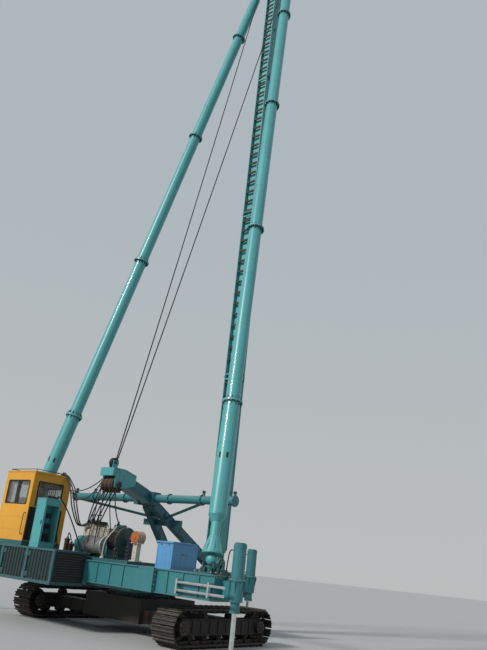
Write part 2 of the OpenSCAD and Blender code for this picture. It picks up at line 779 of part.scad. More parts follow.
// Window of a side wall, as ranges along X and Z
side_window = [[cab_x[0] + 150, cab_x[1] - 200], [sill_z, head_z]];
// Back window: two panes as ranges along Y and Z
back_panes = [[[cab_y[0] + 130, cab_y[0] + cab_w / 2 - 30], [sill_z + 20, head_z]],
  [[cab_y[0] + cab_w / 2 + 30, cab_y[1] - 130], [sill_z + 20, head_z]]];
front_window = [[cab_y[0] + 110, cab_y[1] - 110], [cab_z[0] + 0.38 * cab_h, turn_z - 50]];

// Side outline of the cab, its front top corner rounded, moved inward by inset
module cab_outline(inset) {
  x = [cab_x[0] + inset, cab_x[1] - inset];
  top = cab_z[1] + cab_wall - inset;
  r = cab_round - inset;
  difference() {
    translate([x[0], cab_z[0]]) square([x[1] - x[0], top - cab_z[0]]);
    translate([x[1] - r, top - r]) difference() {
      square(r + 1);
      circle(r = r);
    }
  }
}

// Its child, drawn in X and Z, made solid over a range along Y
module across(y) {
  translate([0, y[1], 0]) rotate([90, 0, 0]) linear_extrude(y[1] - y[0]) children();
}

module cab_back() {
  color(yellow) difference() {
    block([cab_x[0], cab_x[0] + cab_wall], cab_y, cab_z);
    for (w = back_panes) block([cab_x[0] - 1, cab_x[0] + cab_wall + 1], w[0], w[1]);
  }
}

module cab_right_side() {
  color(yellow) difference() {
    across([cab_y[0], cab_y[0] + cab_wall]) cab_outline(cab_wall);
    block(side_window[0], [cab_y[0] - 1, cab_y[0] + cab_wall + 1], side_window[1]);
  }
}

module cab_left_side() {
  color(yellow) {
    difference() {
      across([cab_y[1] - cab_wall, cab_y[1]]) cab_outline(cab_wall);
      block([door_x[0] - door_gap, door_x[1] + door_gap], [cab_y[1] - cab_wall - 1, cab_y[1] + 1],
        [door_z[0] - door_gap, door_z[1] + door_gap]);
    }
    for (z = [door_z[0] + 150, door_z[1] - 250]) {
      translate([hinge_at[0], hinge_at[1], z]) cylinder(r = hinge_r, h = 50);
      translate([hinge_at[0], hinge_at[1], z]) cylinder(r = 6, h = 100);
      block([hinge_at[0] - 60, hinge_at[0]], [cab_y[1], cab_y[1] + 8], [z, z + 50]);
      block([hinge_at[0] - 14, hinge_at[0]], [cab_y[1], hinge_at[1]], [z, z + 50]);
    }
  }
}

module cab_door() {
  color(yellow) difference() {
    union() {
      block(door_x, [cab_y[1] - cab_wall, cab_y[1]], door_z);
      for (z = [door_z[0] + 202, door_z[1] - 198]) {
        translate([hinge_at[0], hinge_at[1], z]) cylinder(r = hinge_r, h = 48);
        block([hinge_at[0], hinge_at[0] + 50], [cab_y[1], cab_y[1] + 12], [z, z + 48]);
        block([hinge_at[0], hinge_at[0] + 14], [cab_y[1], hinge_at[1]], [z, z + 48]);
      }
      block([door_x[1] - 90, door_x[1] - 60], [cab_y[1], cab_y[1] + 35], [sill_z - 160, sill_z - 40]);
    }
    block([door_x[0] + 90, door_x[1] - 90], [cab_y[1] - cab_wall - 1, cab_y[1] + 1],
      [sill_z, door_z[1] - 80]);
    for (z = [door_z[0] + 202, door_z[1] - 198])
      translate([hinge_at[0], hinge_at[1], z - 1]) cylinder(r = 6 + run_gap, h = 50);
  }
}

module door_glass() {
  color([0.3, 0.35, 0.36, 0.5])
    block([door_x[0] + 90, door_x[1] - 90], [cab_y[1] - cab_wall / 2, cab_y[1] - cab_wall / 2 + glass_t],
      [sill_z, door_z[1] - 80]);
}

module cab_front() {
  color(yellow) difference() {
    block([cab_x[1] - cab_wall, cab_x[1]], cab_y, [cab_z[0], turn_z]);
    block([cab_x[1] - cab_wall - 1, cab_x[1] + 1], front_window[0], front_window[1]);
  }
}

// Roof sheet that turns down into the front wall
module cab_roof() {
  color(yellow) across([cab_y[0] - 15, cab_y[1] + 15]) difference() {
    cab_outline(0);
    cab_outline(cab_wall);
    translate([cab_x[0] - 1, cab_z[0] - 1]) square([cab_wall + 1, cab_h + 1]);
    translate([cab_x[0] - 1, cab_z[0] - 1]) square([cab_l + 2, turn_z - cab_z[0] + 1]);
  }
}

module cab_glass() {
  mid = cab_wall / 2;
  color([0.3, 0.35, 0.36, 0.5]) {
    for (w = back_panes) block([cab_x[0] + mid, cab_x[0] + mid + glass_t], w[0], w[1]);
    block(side_window[0], [cab_y[0] + mid, cab_y[0] + mid + glass_t], side_window[1]);
    block([cab_x[1] - mid, cab_x[1] - mid + glass_t], front_window[0], front_window[1]);
  }
}

seat_x = cab_x[0] + 380;
seat_y = (cab_y[0] + cab_y[1]) / 2;

module seat_base() {
  color(black) {
    block([seat_x - 180, seat_x + 180], [seat_y - 180, seat_y + 180], [cab_z[0], cab_z[0] + 330]);
    for (side = [-1, 1]) block([seat_x - 150, seat_x + 260], [seat_y + side * 330 - 60, seat_y + side * 330 + 60],
      [cab_z[0], cab_z[0] + 560]);
    for (side = [-1, 1]) translate([seat_x + 200, seat_y + side * 330, cab_z[0] + 560]) cylinder(r = 14, h = 180);
  }
}

module seat_pads() {
  color(black) {
    block([seat_x - 230, seat_x + 230], [seat_y - 230, seat_y + 230],
      [cab_z[0] + 330 + seat_gap, cab_z[0] + 440]);
    block([seat_x - 230, seat_x - 130], [seat_y - 220, seat_y + 220],
      [cab_z[0] + 440, cab_z[0] + 960]);
  }
}

// Valve cabinet behind the winches, open on its right side
cabinet_x = [mast_x - rear_reach + 50, mast_x - rear_reach + 450];
cabinet_y = [690, 1010];
cabinet_z = [rear_deck_z, rear_deck_z + cabinet_h];

module valve_cabinet() {
  color(teal) difference() {
    block(cabinet_x, cabinet_y, cabinet_z);
    block([cabinet_x[0] + 40, cabinet_x[1] - 40], [cabinet_y[0] - 1, cabinet_y[1] - 60],
      [cabinet_z[0] + 120, cabinet_z[1] - 150]);
  }
}

module cabinet_levers() {
  color(black) {
    block([cabinet_x[0] + 60, cabinet_x[1] - 60], [cabinet_y[0] + 60, cabinet_y[1] - 60],
      [cabinet_z[1], cabinet_z[1] + 50]);
    for (i = [0 : 4]) translate([cabinet_x[0] + 100 + i * 50, (cabinet_y[0] + cabinet_y[1]) / 2, cabinet_z[1] + 50])
      cylinder(r = 8, h = 170);
  }
}

// Tool chest on the right wing of the deck
chest_x = [beam_x[0] + 240, beam_x[0] + 240 + chest_l];
chest_y = [-1820 - chest_w, -1820];
lid_z = deck_z + chest_h - 60;
chest_wall = 20;
lid_hinge = [chest_x[1] + 18, lid_z + 6];

module tool_chest() {
  color([0.2, 0.45, 0.7]) {
    difference() {
      block(chest_x, chest_y, [deck_z, lid_z - seat_gap]);
      block([chest_x[0] + chest_wall, chest_x[1] - chest_wall],
        [chest_y[0] + chest_wall, chest_y[1] - chest_wall], [deck_z + chest_wall, lid_z + 1]);
    }
    for (y = [chest_y[0] + 70, chest_y[1] - 110]) difference() {
      union() {
        rod_y(10, lid_hinge, [y, y + 40]);
        block([chest_x[1], lid_hinge[0]], [y, y + 40], [lid_z - 40, lid_hinge[1] - 1]);
      }
      rod_y(4, lid_hinge, [y - 1, y + 41]);
    }
  }
}

module tool_chest_lid() {
  color([0.2, 0.45, 0.7]) {
    block([chest_x[0] - 20, chest_x[1]], [chest_y[0] - 20, chest_y[1] + 20], [lid_z, lid_z + 25]);
    for (y = [chest_y[0] + 70, chest_y[1] - 110]) {
      rod_y(4 - run_gap, lid_hinge, [y - 42, y + 41]);
      rod_y(10, lid_hinge, [y - 42, y - 2]);
      block([chest_x[1] - 1, lid_hinge[0]], [y - 42, y - 2], [lid_z, lid_hinge[1] + 9]);
    }
  }
}

// Winches on the rear beam and the deck behind the gantry
winch_x = beam_x[0] + 440;
shaft_z = deck_z + shaft_h;
aux_shaft_z = deck_z + aux_shaft_h;
base_t = 60;
// Reach of the winch base behind and ahead of the shafts, and its half width
base_rear = 340;
base_front = 560;
base_half = 1150;
shaft_r = 40;
// Winch drums: [right end, left end] of each along Y
main_y = [-50, 560];
aux_y = [-520, -230];
post_t = 60;
post_gap = 12;

module pedestal(y, z) {
  difference() {
    union() {
      block([winch_x - 130, winch_x + 130], [y, y + post_t], [deck_z + base_t, z]);
      rod_y(80, [winch_x, z], [y, y + post_t]);
    }
    rod_y(shaft_r + run_gap, [winch_x, z], [y - 1, y + post_t + 1]);
  }
}

module winch_base() {
  color(dark_teal) {
    block([winch_x - base_rear, winch_x + base_front], [-base_half, base_half], [deck_z, deck_z + base_t]);
    for (d = [[main_y, shaft_z], [aux_y, aux_shaft_z]]) {
      pedestal(d[0][0] - post_gap - post_t, d[1]);
      pedestal(d[0][1] + post_gap, d[1]);
    }
  }
}

// Winch drum with its stub shafts; core is its rope-filled radius
module drum(y, z, flange_r, core_r) {
  rod_y(core_r, [winch_x, z], y);
  for (e = [y[0], y[1] - 25]) rod_y(flange_r, [winch_x, z], [e, e + 25]);
  rod_y(shaft_r, [winch_x, z], [y[0] - post_gap - post_t - 12, y[1] + post_gap + post_t + 4]);
}

module main_drum() {
  color(silver) drum(main_y, shaft_z, main_drum_d / 2, 155);
}

module aux_drum() {
  color([0.1, 0.2, 0.3]) drum(aux_y, aux_shaft_z, aux_drum_d / 2, 140);
}

// Brake wheel on the right end of the second drum's shaft
module brake_wheel() {
  y = aux_y[0] - post_gap - post_t - 12;
  color([0.08, 0.25, 0.2]) {
    rod_y(brake_wheel_d / 2, [winch_x, aux_shaft_z], [y - 60, y - 6]);
    rod_y(70, [winch_x, aux_shaft_z], [y - 60, y]);
  }
}

// Gearbox ahead of the drums, with its valve gear and levers on top
gearbox_x = [winch_x + 240, winch_x + 540];
gearbox_y = [240, 1120];
gearbox_top = deck_z + base_t + gearbox_h;

module winch_gearbox() {
  color([0.7, 0.65, 0.5]) block(gearbox_x, gearbox_y, [deck_z + base_t, gearbox_top]);
  color(black) {
    block([gearbox_x[0] + 30, gearbox_x[1] - 30], [gearbox_y[1] - 480, gearbox_y[1] - 20],
      [gearbox_top, gearbox_top + 130]);
    for (i = [0 : 3]) translate([gearbox_x[0] + 90, gearbox_y[1] - 410 + i * 100, gearbox_top + 130])
      cylinder(r = 9, h = 130);
  }
}

// Motor on the main shaft's left end
motor_y = [main_y[1] + post_gap + post_t + 10, main_y[1] + post_gap + post_t + 330];

module winch_motor() {
  color([0.3, 0.65, 0.65]) {
    rod_y(120, [winch_x, shaft_z], motor_y);
    block([winch_x - 100, winch_x + 100], [motor_y[0] + 40, motor_y[1] - 40], [deck_z + base_t, shaft_z]);
    rod_y(60, [winch_x, shaft_z], [motor_y[0], motor_y[1] + 50]);
  }
}

// Rope guide on its column at the winches' right end
guide_y = -1010;
guide_z = deck_z + 540;
control_post_y = [-840, -740];

module rope_guide() {
  color([0.8, 0.78, 0.7]) block([winch_x - 60, winch_x + 60], [guide_y - 60, guide_y + 60],
    [deck_z + base_t, guide_z - 100]);
  color([0.75, 0.3, 0.1]) {
    rod_x(120, [guide_y, guide_z], [winch_x - 90, winch_x + 90]);
    block([winch_x - 90, winch_x + 90], [guide_y - 110, guide_y + 110], [guide_z - 120, guide_z - 100]);
  }
}

// Control post between the brake wheel and the rope guide
module control_post() {
  color([0.1, 0.2, 0.3]) block([winch_x - 60, winch_x + 60], control_post_y, [deck_z + base_t, guide_z - 40]);
}

track_left();
track_right();
track_frame_left();
track_frame_right();
car_body();
turntable();
main_frame();
deck_plate();
rear_deck();
rear_beam();
front_beam();
jack_tubes();
jack_rod_rear_left();
jack_rod_rear_right();
jack_rod_front_left();
jack_rod_front_right();
slide_rods();
stay_sockets();
mast_bracket();
gantry_frame();
head_sheaves();
top_sheave();
cross_tube();
cab_floor();
cab_back();
cab_right_side();
cab_left_side();
cab_front();
cab_roof();
cab_door();
cab_glass();
door_glass();
seat_base();
seat_pads();
valve_cabinet();
cabinet_levers();
tool_chest();
tool_chest_lid();
winch_base();
winch_gearbox();
main_drum();
brake_wheel();
aux_drum();
winch_motor();
rope_guide();
control_post();
mast_column();
mast_channel();
mast_rails();
mast_flanges();
crossarm();
crown_beam();
crown_sheave_rear();
crown_sheave_front();
stay_left();
stay_right();
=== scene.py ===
"""Looks of a crawler pile driver rig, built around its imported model.

Metres, in the model's own frame: +X is forward, +Y is left and +Z is up. The camera
stands behind the machine's right rear corner and looks up along the mast.
"""

from __future__ import annotations

import logging
import math
import random
from dataclasses import dataclass
from enum import Enum
from itertools import product
from typing import Callable, Iterable, NamedTuple, Sequence

import bpy
from mathutils import Matrix, Vector

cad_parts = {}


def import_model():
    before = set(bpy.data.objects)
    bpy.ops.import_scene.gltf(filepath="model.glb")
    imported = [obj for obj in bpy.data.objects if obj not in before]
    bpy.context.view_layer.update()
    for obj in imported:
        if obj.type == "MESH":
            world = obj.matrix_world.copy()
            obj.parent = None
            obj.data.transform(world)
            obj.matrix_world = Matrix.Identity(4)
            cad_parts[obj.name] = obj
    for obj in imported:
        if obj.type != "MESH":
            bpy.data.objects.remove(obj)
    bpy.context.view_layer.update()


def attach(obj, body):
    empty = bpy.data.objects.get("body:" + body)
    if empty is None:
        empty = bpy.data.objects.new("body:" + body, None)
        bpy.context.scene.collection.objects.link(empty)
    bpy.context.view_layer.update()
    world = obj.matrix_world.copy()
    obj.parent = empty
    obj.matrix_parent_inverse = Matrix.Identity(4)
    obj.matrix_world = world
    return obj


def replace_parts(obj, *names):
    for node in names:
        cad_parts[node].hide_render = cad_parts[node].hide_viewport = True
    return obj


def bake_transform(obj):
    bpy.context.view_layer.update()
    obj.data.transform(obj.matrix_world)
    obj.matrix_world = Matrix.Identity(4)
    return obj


LOG = logging.getLogger("pile_driver")
SEED = 41
FLAT = math.radians(38)
TAU = 2 * math.pi
BOTH = (-1, 1)
X, Y, Z = Vector((1, 0, 0)), Vector((0, 1, 0)), Vector((0, 0, 1))
Range = tuple[float, float]
Triple = tuple[float, float, float]
Socket = bpy.types.NodeSocket


class Slot(Enum):
    """The record's material slots."""

    TEAL = "teal_paint"
    DARK_TEAL = "dark_teal_paint"
    BLACK = "black_steel"
    YELLOW = "cab_yellow"
    BLUE = "chest_blue"
    CHROME = "rod_chrome"
    DRUM = "drum_silver"
    RUST = "rusty_steel"
    GREEN = "green_wheel"
    BLUE_BLACK = "blue_black_drum"
    BEIGE = "beige_box"
    ORANGE = "orange_drum"
    GLASS = "cab_glass"
    VINYL = "seat_vinyl"


class Side(Enum):
    """Left and right of the machine, as the sign of Y."""

    LEFT = 1
    RIGHT = -1

    @property
    def label(self) -> str:
        """The side's name in a piece's name."""
        return self.name.lower()


class Finish(NamedTuple):
    """A built material and the record's slot that it belongs to."""

    material: bpy.types.Material
    slot: Slot


def vec(x: float, y: float, z: float) -> Vector:
    """The vector (x, y, z)."""
    return Vector((x, y, z))


SLAT = (X, vec(0, 0.8, 0.6), vec(0, -0.6, 0.8))


def near(middle: float, half: float) -> Range:
    """The range half a width to both sides of a middle."""
    return middle - half, middle + half


def every(*values: float | Sequence[float]) -> list[Vector]:
    """Every point whose coordinates come from the given values, one or several for each axis."""
    return [Vector(p) for p in product(*(v if isinstance(v, tuple) else (v,) for v in values))]


def rays(count: int, u: Vector = X, v: Vector = Z, start: float = 0.0) -> list[Vector]:
    """Directions spread evenly round a circle in the plane of u and v, from an angle on."""
    return [u * math.cos(a) + v * math.sin(a) for a in (start + TAU * k / count for k in range(count))]


def aimed(*degrees: float) -> list[Vector]:
    """Directions in the plane Y = 0 at the given angles above +X."""
    return [vec(math.cos(a), 0, math.sin(a)) for a in map(math.radians, degrees)]


def square_to(axis: Vector) -> tuple[Vector, Vector, Vector]:
    """A unit vector along the axis and two that are square to it."""
    axis = axis.normalized()
    u = axis.orthogonal().normalized()
    return axis, u, axis.cross(u)


def bands(count: int, total: int, sides: int) -> list[tuple[int, ...]]:
    """Faces of the first count bands between total rings of points, which come back to the first ring."""
    return [(j * sides + i, j * sides + (i + 1) % sides, (j + 1) % total * sides + (i + 1) % sides,
             (j + 1) % total * sides + i) for j in range(count) for i in range(sides)]


class Shape:
    """Collects closed solids and makes them into one mesh piece."""

    def __init__(self) -> None:
        self.verts: list[Vector] = []
        self.faces: list[tuple[int, ...]] = []
        self.uvs: list[tuple[float, float]] = []

    def add(self, verts: Sequence[Vector], faces: Sequence[tuple[int, ...]],
            uvs: Sequence[Sequence[tuple[float, float]]] | None = None) -> Shape:
        """Adds one closed solid, turned so that its faces point outward.

        Args:
            verts: the solid's points.
            faces: its faces, all wound the same way.
            uvs: one pair for each corner of each face, or None.

        Returns:
            This shape.
        """
        volume = sum(verts[f[0]].dot(verts[b].cross(verts[c])) for f in faces for b, c in zip(f[1:], f[2:]))
        base = len(self.verts)
        self.verts.extend(verts)
        step = -1 if volume < 0 else 1
        for n, f in enumerate(faces):
            pairs = uvs[n] if uvs else [(0.0, 0.0)] * len(f)
            self.faces.append(tuple(base + i for i in f[::step]))
            self.uvs.extend(pairs[::step])
        return self

    def slab(self, centre: Vector, half: Sequence[float], edge: float = 0.004,
             axes: Sequence[Vector] = (X, Y, Z)) -> Shape:
        """Adds a box with chamfered edges.

        Args:
            centre: its middle.
            half: half its size along each axis.
            edge: the chamfer's width.
            axes: three unit vectors, right-handed.

        Returns:
            This shape.
        """
        e = min(edge, 0.45 * min(half))
        verts, index = [], {}
        for *signs, k in product(BOTH, BOTH, BOTH, range(3)):
            index[(*signs, k)] = len(verts)
            p = centre.copy()
            for a in range(3):
                p += axes[a] * signs[a] * (half[a] - (0 if a == k else e))
            verts.append(p)

        def corner(k: int, s: int, du: int, dv: int, face: int) -> int:
            """The corner on side s of axis k, at du and dv along the next two, that lies on a face."""
            signs = [0, 0, 0]
            signs[k], signs[(k + 1) % 3], signs[(k + 2) % 3] = s, du, dv
            return index[(*signs, face)]

        faces = [tuple(index[(*signs, k)] for k in range(3)) for signs in product(BOTH, BOTH, BOTH)]
        for k, s in product(range(3), BOTH):
            after = (k + 1) % 3
            faces.append(tuple(corner(k, s, *d, k) for d in ((-1, -1), (1, -1), (1, 1), (-1, 1))))
            rim = ((-1, k), (1, k), (1, after), (-1, after))
            faces += [tuple(corner(k, s, t, w, face) for w, face in rim) for t in BOTH]
        for n, f in enumerate(faces):
            out = (verts[f[1]] - verts[f[0]]).cross(verts[f[2]] - verts[f[1]])
            if out.dot(sum((verts[i] for i in f), Vector()) / len(f) - centre) <= 0:
                faces[n] = f[::-1]
        return self.add(verts, faces)

    def box(self, x: Range, y: Range, z: Range, edge: float = 0.004) -> Shape:
        """Adds a chamfered box given as a range on each axis."""
        centre, half = vec(*(sum(r) / 2 for r in (x, y, z))), [abs(r[1] - r[0]) / 2 for r in (x, y, z)]
        return self.slab(centre, half, edge)

    def bar(self, p: Vector, q: Vector, width: float, height: float, up: Vector = Z,
            edge: float = 0.003) -> Shape:
        """Adds a bar of rectangular section.

        Args:
            p: one end.
            q: the other end.
            width: its size across up.
            height: its size along up.
            up: the direction that its height follows as far as it can.
            edge: the chamfer's width.

        Returns:
            This shape.
        """
        along = (q - p).normalized()
        across = up.cross(along).normalized()
        half = ((q - p).length / 2, width / 2, height / 2)
        return self.slab((p + q) / 2, half, edge, (along, across, along.cross(across)))

    def prism(self, outline: Sequence[Vector], depth: Vector) -> Shape:
        """Adds a plate: a flat outline pushed along depth."""
        n = len(outline)
        return self.add([*outline, *(p + depth for p in outline)],
                        [tuple(reversed(range(n))), tuple(range(n, 2 * n)), *bands(1, 2, n)])

    def lathe(self, at: Vector, axis: Vector, profile: Sequence[Range], sides: int = 28) -> Shape:
        """Adds a turned solid.

        Args:
            at: the point that the profile's heights count from.
            axis: the axis's direction.
            profile: (height, radius) pairs from one end to the other.
            sides: the number of faces round it.

        Returns:
            This shape.
        """
        axis, u, v = square_to(axis)
        rows = len(profile)
        verts = [at + axis * h + ray * max(r, 1e-5) for h, r in profile for ray in rays(sides, u, v)]
        ends = [tuple(reversed(range(sides))), tuple(range((rows - 1) * sides, rows * sides))]
        return self.add(verts, bands(rows - 1, rows, sides) + ends)

    def ring(self, at: Vector, axis: Vector, radii: Range, height: Range, sides: int = 32) -> Shape:
        """Adds a flat ring between two radii over a range of heights along its axis."""
        axis, u, v = square_to(axis)
        (low, high), (inner, outer) = height, radii
        section = ((low, inner), (low, outer), (high, outer), (high, inner))
        points = [at + axis * h + ray * r for h, r in section for ray in rays(sides, u, v)]
        return self.add(points, bands(4, 4, sides))

    def tube(self, path: Sequence[Vector], radius: float, sides: int = 8, closed: bool = False) -> Shape:
        """Adds a round rod or rope along a path, with its lay in the UV map.

        Args:
            path: the points of its centre line.
            radius: its radius.
            sides: the number of faces round it.
            closed: whether the last point joins the first.

        Returns:
            This shape.
        """
        n = len(path)
        verts, reach = [], [0.0]
        tangent = (path[1] - path[0]).normalized()
        normal = tangent.orthogonal().normalized()
        for i in range(n):
            ahead = path[(i + 1) % n] if closed or i < n - 1 else path[i]
            behind = path[i - 1] if closed or i > 0 else path[i]
            new = (ahead - behind).normalized()
            normal = (tangent.rotation_difference(new) @ normal).normalized()
            tangent = new
            verts += [path[i] + ray * radius for ray in rays(sides, normal, tangent.cross(normal))]
            if i < n - 1:
                reach.append(reach[-1] + (path[i + 1] - path[i]).length)
        girth = TAU * radius
        faces, uvs = bands(n if closed else n - 1, n, sides), []
        for i, k in product(range(n if closed else n - 1), range(sides)):
            j = (i + 1) % n
            u0, u1, v0 = k / sides, (k + 1) / sides, reach[i] / girth
            v1 = reach[j] / girth if j else v0
            uvs.append([(u0, v0), (u1, v0), (u1, v1), (u0, v1)])
        if not closed:
            faces += [tuple(reversed(range(sides))), tuple(range((n - 1) * sides, n * sides))]
            uvs += [[(0.5, 0.0)] * sides, [(0.5, reach[-1] / girth)] * sides]
        return self.add(verts, faces, uvs)

    def rods(self, radius: float, *runs: Sequence[Vector], sides: int = 8) -> Shape:
        """Adds a rod or hose along each of the given paths."""
        for run in runs:
            self.tube(run, radius, sides)
        return self

    def bolts(self, places: Iterable[Vector], axis: Vector, r: float, h: float) -> Shape:
        """Adds hexagon bolt heads of radius r and height h on their washers."""
        axis = axis.normalized()
        for at in places:
            self.lathe(at - axis * 0.002, axis, [(0, 1.35 * r), (0.005, 1.35 * r), (0.006, 1.2 * r)], 12)
            self.lathe(at + axis * 0.0035, axis, [(0, r), (0.8 * h, r), (h, 0.86 * r)], 6)
        return self

    def bolt_circle(self, at: Vector, axis: Vector, radius: float, count: int, r: float, h: float) -> Shape:
        """Adds count bolts on a circle round at, each with its radius and height."""
        _, u, v = square_to(axis)
        return self.bolts([at + ray * radius for ray in rays(count, u, v, math.pi / count)], axis, r, h)

    def spokes(self, hub: Vector, directions: Sequence[Vector], reach: Range, width: float, thick: float,
               up: Vector = Y) -> Shape:
        """Adds flat bars that run outward from a hub.

        Args:
            hub: the middle of the wheel.
            directions: the way of each bar.
            reach: the radii between which the bars run.
            width: their width.
            thick: their thickness along up.
            up: the wheel's axis.

        Returns:
            This shape.
        """
        for ray in directions:
            self.bar(hub + ray * reach[0], hub + ray * reach[1], width, thick, up)
        return self

    def piece(self, name: str, finish: Finish, body: str | None = "chassis",
              slot: Slot | None = None) -> bpy.types.Object:
        """Makes the mesh piece and lets it ride on a body.

        Args:
            name: the piece's name.
            finish: its finish.
            body: the body that it rides on, or None where it rides on none.
            slot: the record's slot where it isn't the finish's own; not used.

        Returns:
            The new object.
        """
        mesh = bpy.data.meshes.new(name)
        mesh.from_pydata([v[:] for v in self.verts], [], self.faces)
        mesh.uv_layers.new(name="lay").data.foreach_set("uv", [c for pair in self.uvs for c in pair])
        mesh.polygons.foreach_set("use_smooth", [True] * len(mesh.polygons))
        mesh.set_sharp_from_angle(angle=FLAT)
        mesh.materials.append(finish.material)
        mesh.update()
        made = bpy.data.objects.new(name, mesh)
        bpy.context.scene.collection.objects.link(made)
        if body is not None:
            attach(made, body)
        LOG.info("%s: %d faces", name, len(mesh.polygons))
        return made


class Graph:
    """A node tree that is filled from code."""

    def __init__(self, tree: bpy.types.NodeTree) -> None:
        self.tree = tree

    def feed(self, node: bpy.types.Node, inputs: dict) -> bpy.types.Node:
        """Gives a node its inputs, by name or index, each a socket to link or a value."""
        for key, value in inputs.items():
            if isinstance(value, bpy.types.NodeSocket):
                self.tree.links.new(value, node.inputs[key])
            else:
                node.inputs[key].default_value = value
        return node

    def add(self, kind: str, inputs: dict | None = None, **settings: object) -> bpy.types.Node:
        """Adds a node.

        Args:
            kind: the node's type name, without what all shader nodes' names start with.
            inputs: its inputs by name or index, each a socket to link or a value.
            settings: its own attributes.

        Returns:
            The node.
        """
        node = self.tree.nodes.new(kind if kind.startswith("Node") else "ShaderNode" + kind)
        for key, value in settings.items():
            setattr(node, key, value)
        return self.feed(node, inputs or {})

    def math(self, how: str, a: Socket | float, b: Socket | float = 0.0) -> Socket:
        """The result of one sum, clamped to 0..1 where how ends in an exclamation mark."""
        node = self.add("Math", {0: a, 1: b}, operation=how.rstrip("!"))
        node.use_clamp = how.endswith("!")
        return node.outputs[0]

    def mul(self, a: Socket | float, b: Socket | float) -> Socket:
        """a times b."""
        return self.math("MULTIPLY", a, b)

    def plus(self, a: Socket | float, b: Socket | float) -> Socket:
        """a plus b."""
        return self.math("ADD", a, b)

    def ramp(self, value: Socket, low: float, high: float, to: Range = (0.0, 1.0)) -> Socket:
        """value taken smoothly from low..high to the range to."""
        ends = {"Value": value, "From Min": low, "From Max": high, "To Min": to[0], "To Max": to[1]}
        return self.add("MapRange", ends, interpolation_type="SMOOTHSTEP").outputs["Result"]

    def mix(self, factor: Socket | float, a: Socket | tuple, b: Socket | tuple) -> Socket:
        """Colour a with colour b laid over it by factor."""
        ends = {key: (*c, 1) if isinstance(c, tuple) else c for key, c in ((6, a), (7, b))}
        return self.add("Mix", {0: factor, **ends}, data_type="RGBA", blend_type="MIX").outputs[2]

    def noise(self, place: Socket, scale: Socket | float, detail: float = 4.0, rough: float = 0.55) -> Socket:
        """Cloudy noise from 0 to 1."""
        ends = {"Vector": place, "Scale": scale, "Detail": detail, "Roughness": rough}
        return self.add("TexNoise", ends).outputs["Fac"]

    def place(self, output: str = "Object") -> Socket:
        """The point on the object, which lies in the model's frame at rest, or another of its coordinates."""
        return self.add("TexCoord").outputs[output]

    def axes(self, value: Socket) -> Sequence[Socket]:
        """The three parts of a vector."""
        return self.add("SeparateXYZ", {0: value}).outputs

    def normal(self) -> Socket:
        """The shaded face's direction."""
        return self.add("NewGeometry").outputs["Normal"]

    def stretched(self, scale: Sequence[float]) -> Socket:
        """The place with each axis scaled."""
        return self.add("Mapping", {"Vector": self.place(), "Scale": scale}).outputs[0]

    def group(self, tree: bpy.types.NodeTree, *values: object) -> Sequence[Socket]:
        """Places a node group.

        Args:
            tree: the group.
            values: its inputs in order, a colour of three numbers included.

        Returns:
            The group's outputs.
        """
        given = {n: (*v, 1) if isinstance(v, tuple) else v for n, v in enumerate(values)}
        return self.add("Group", given, node_tree=tree).outputs

    def bump(self, height: Socket, strength: float, distance: float = 0.002) -> Socket:
        """The face's direction, tilted by a height."""
        return self.add("Bump", {"Height": height, "Strength": strength, "Distance": distance}).outputs[0]


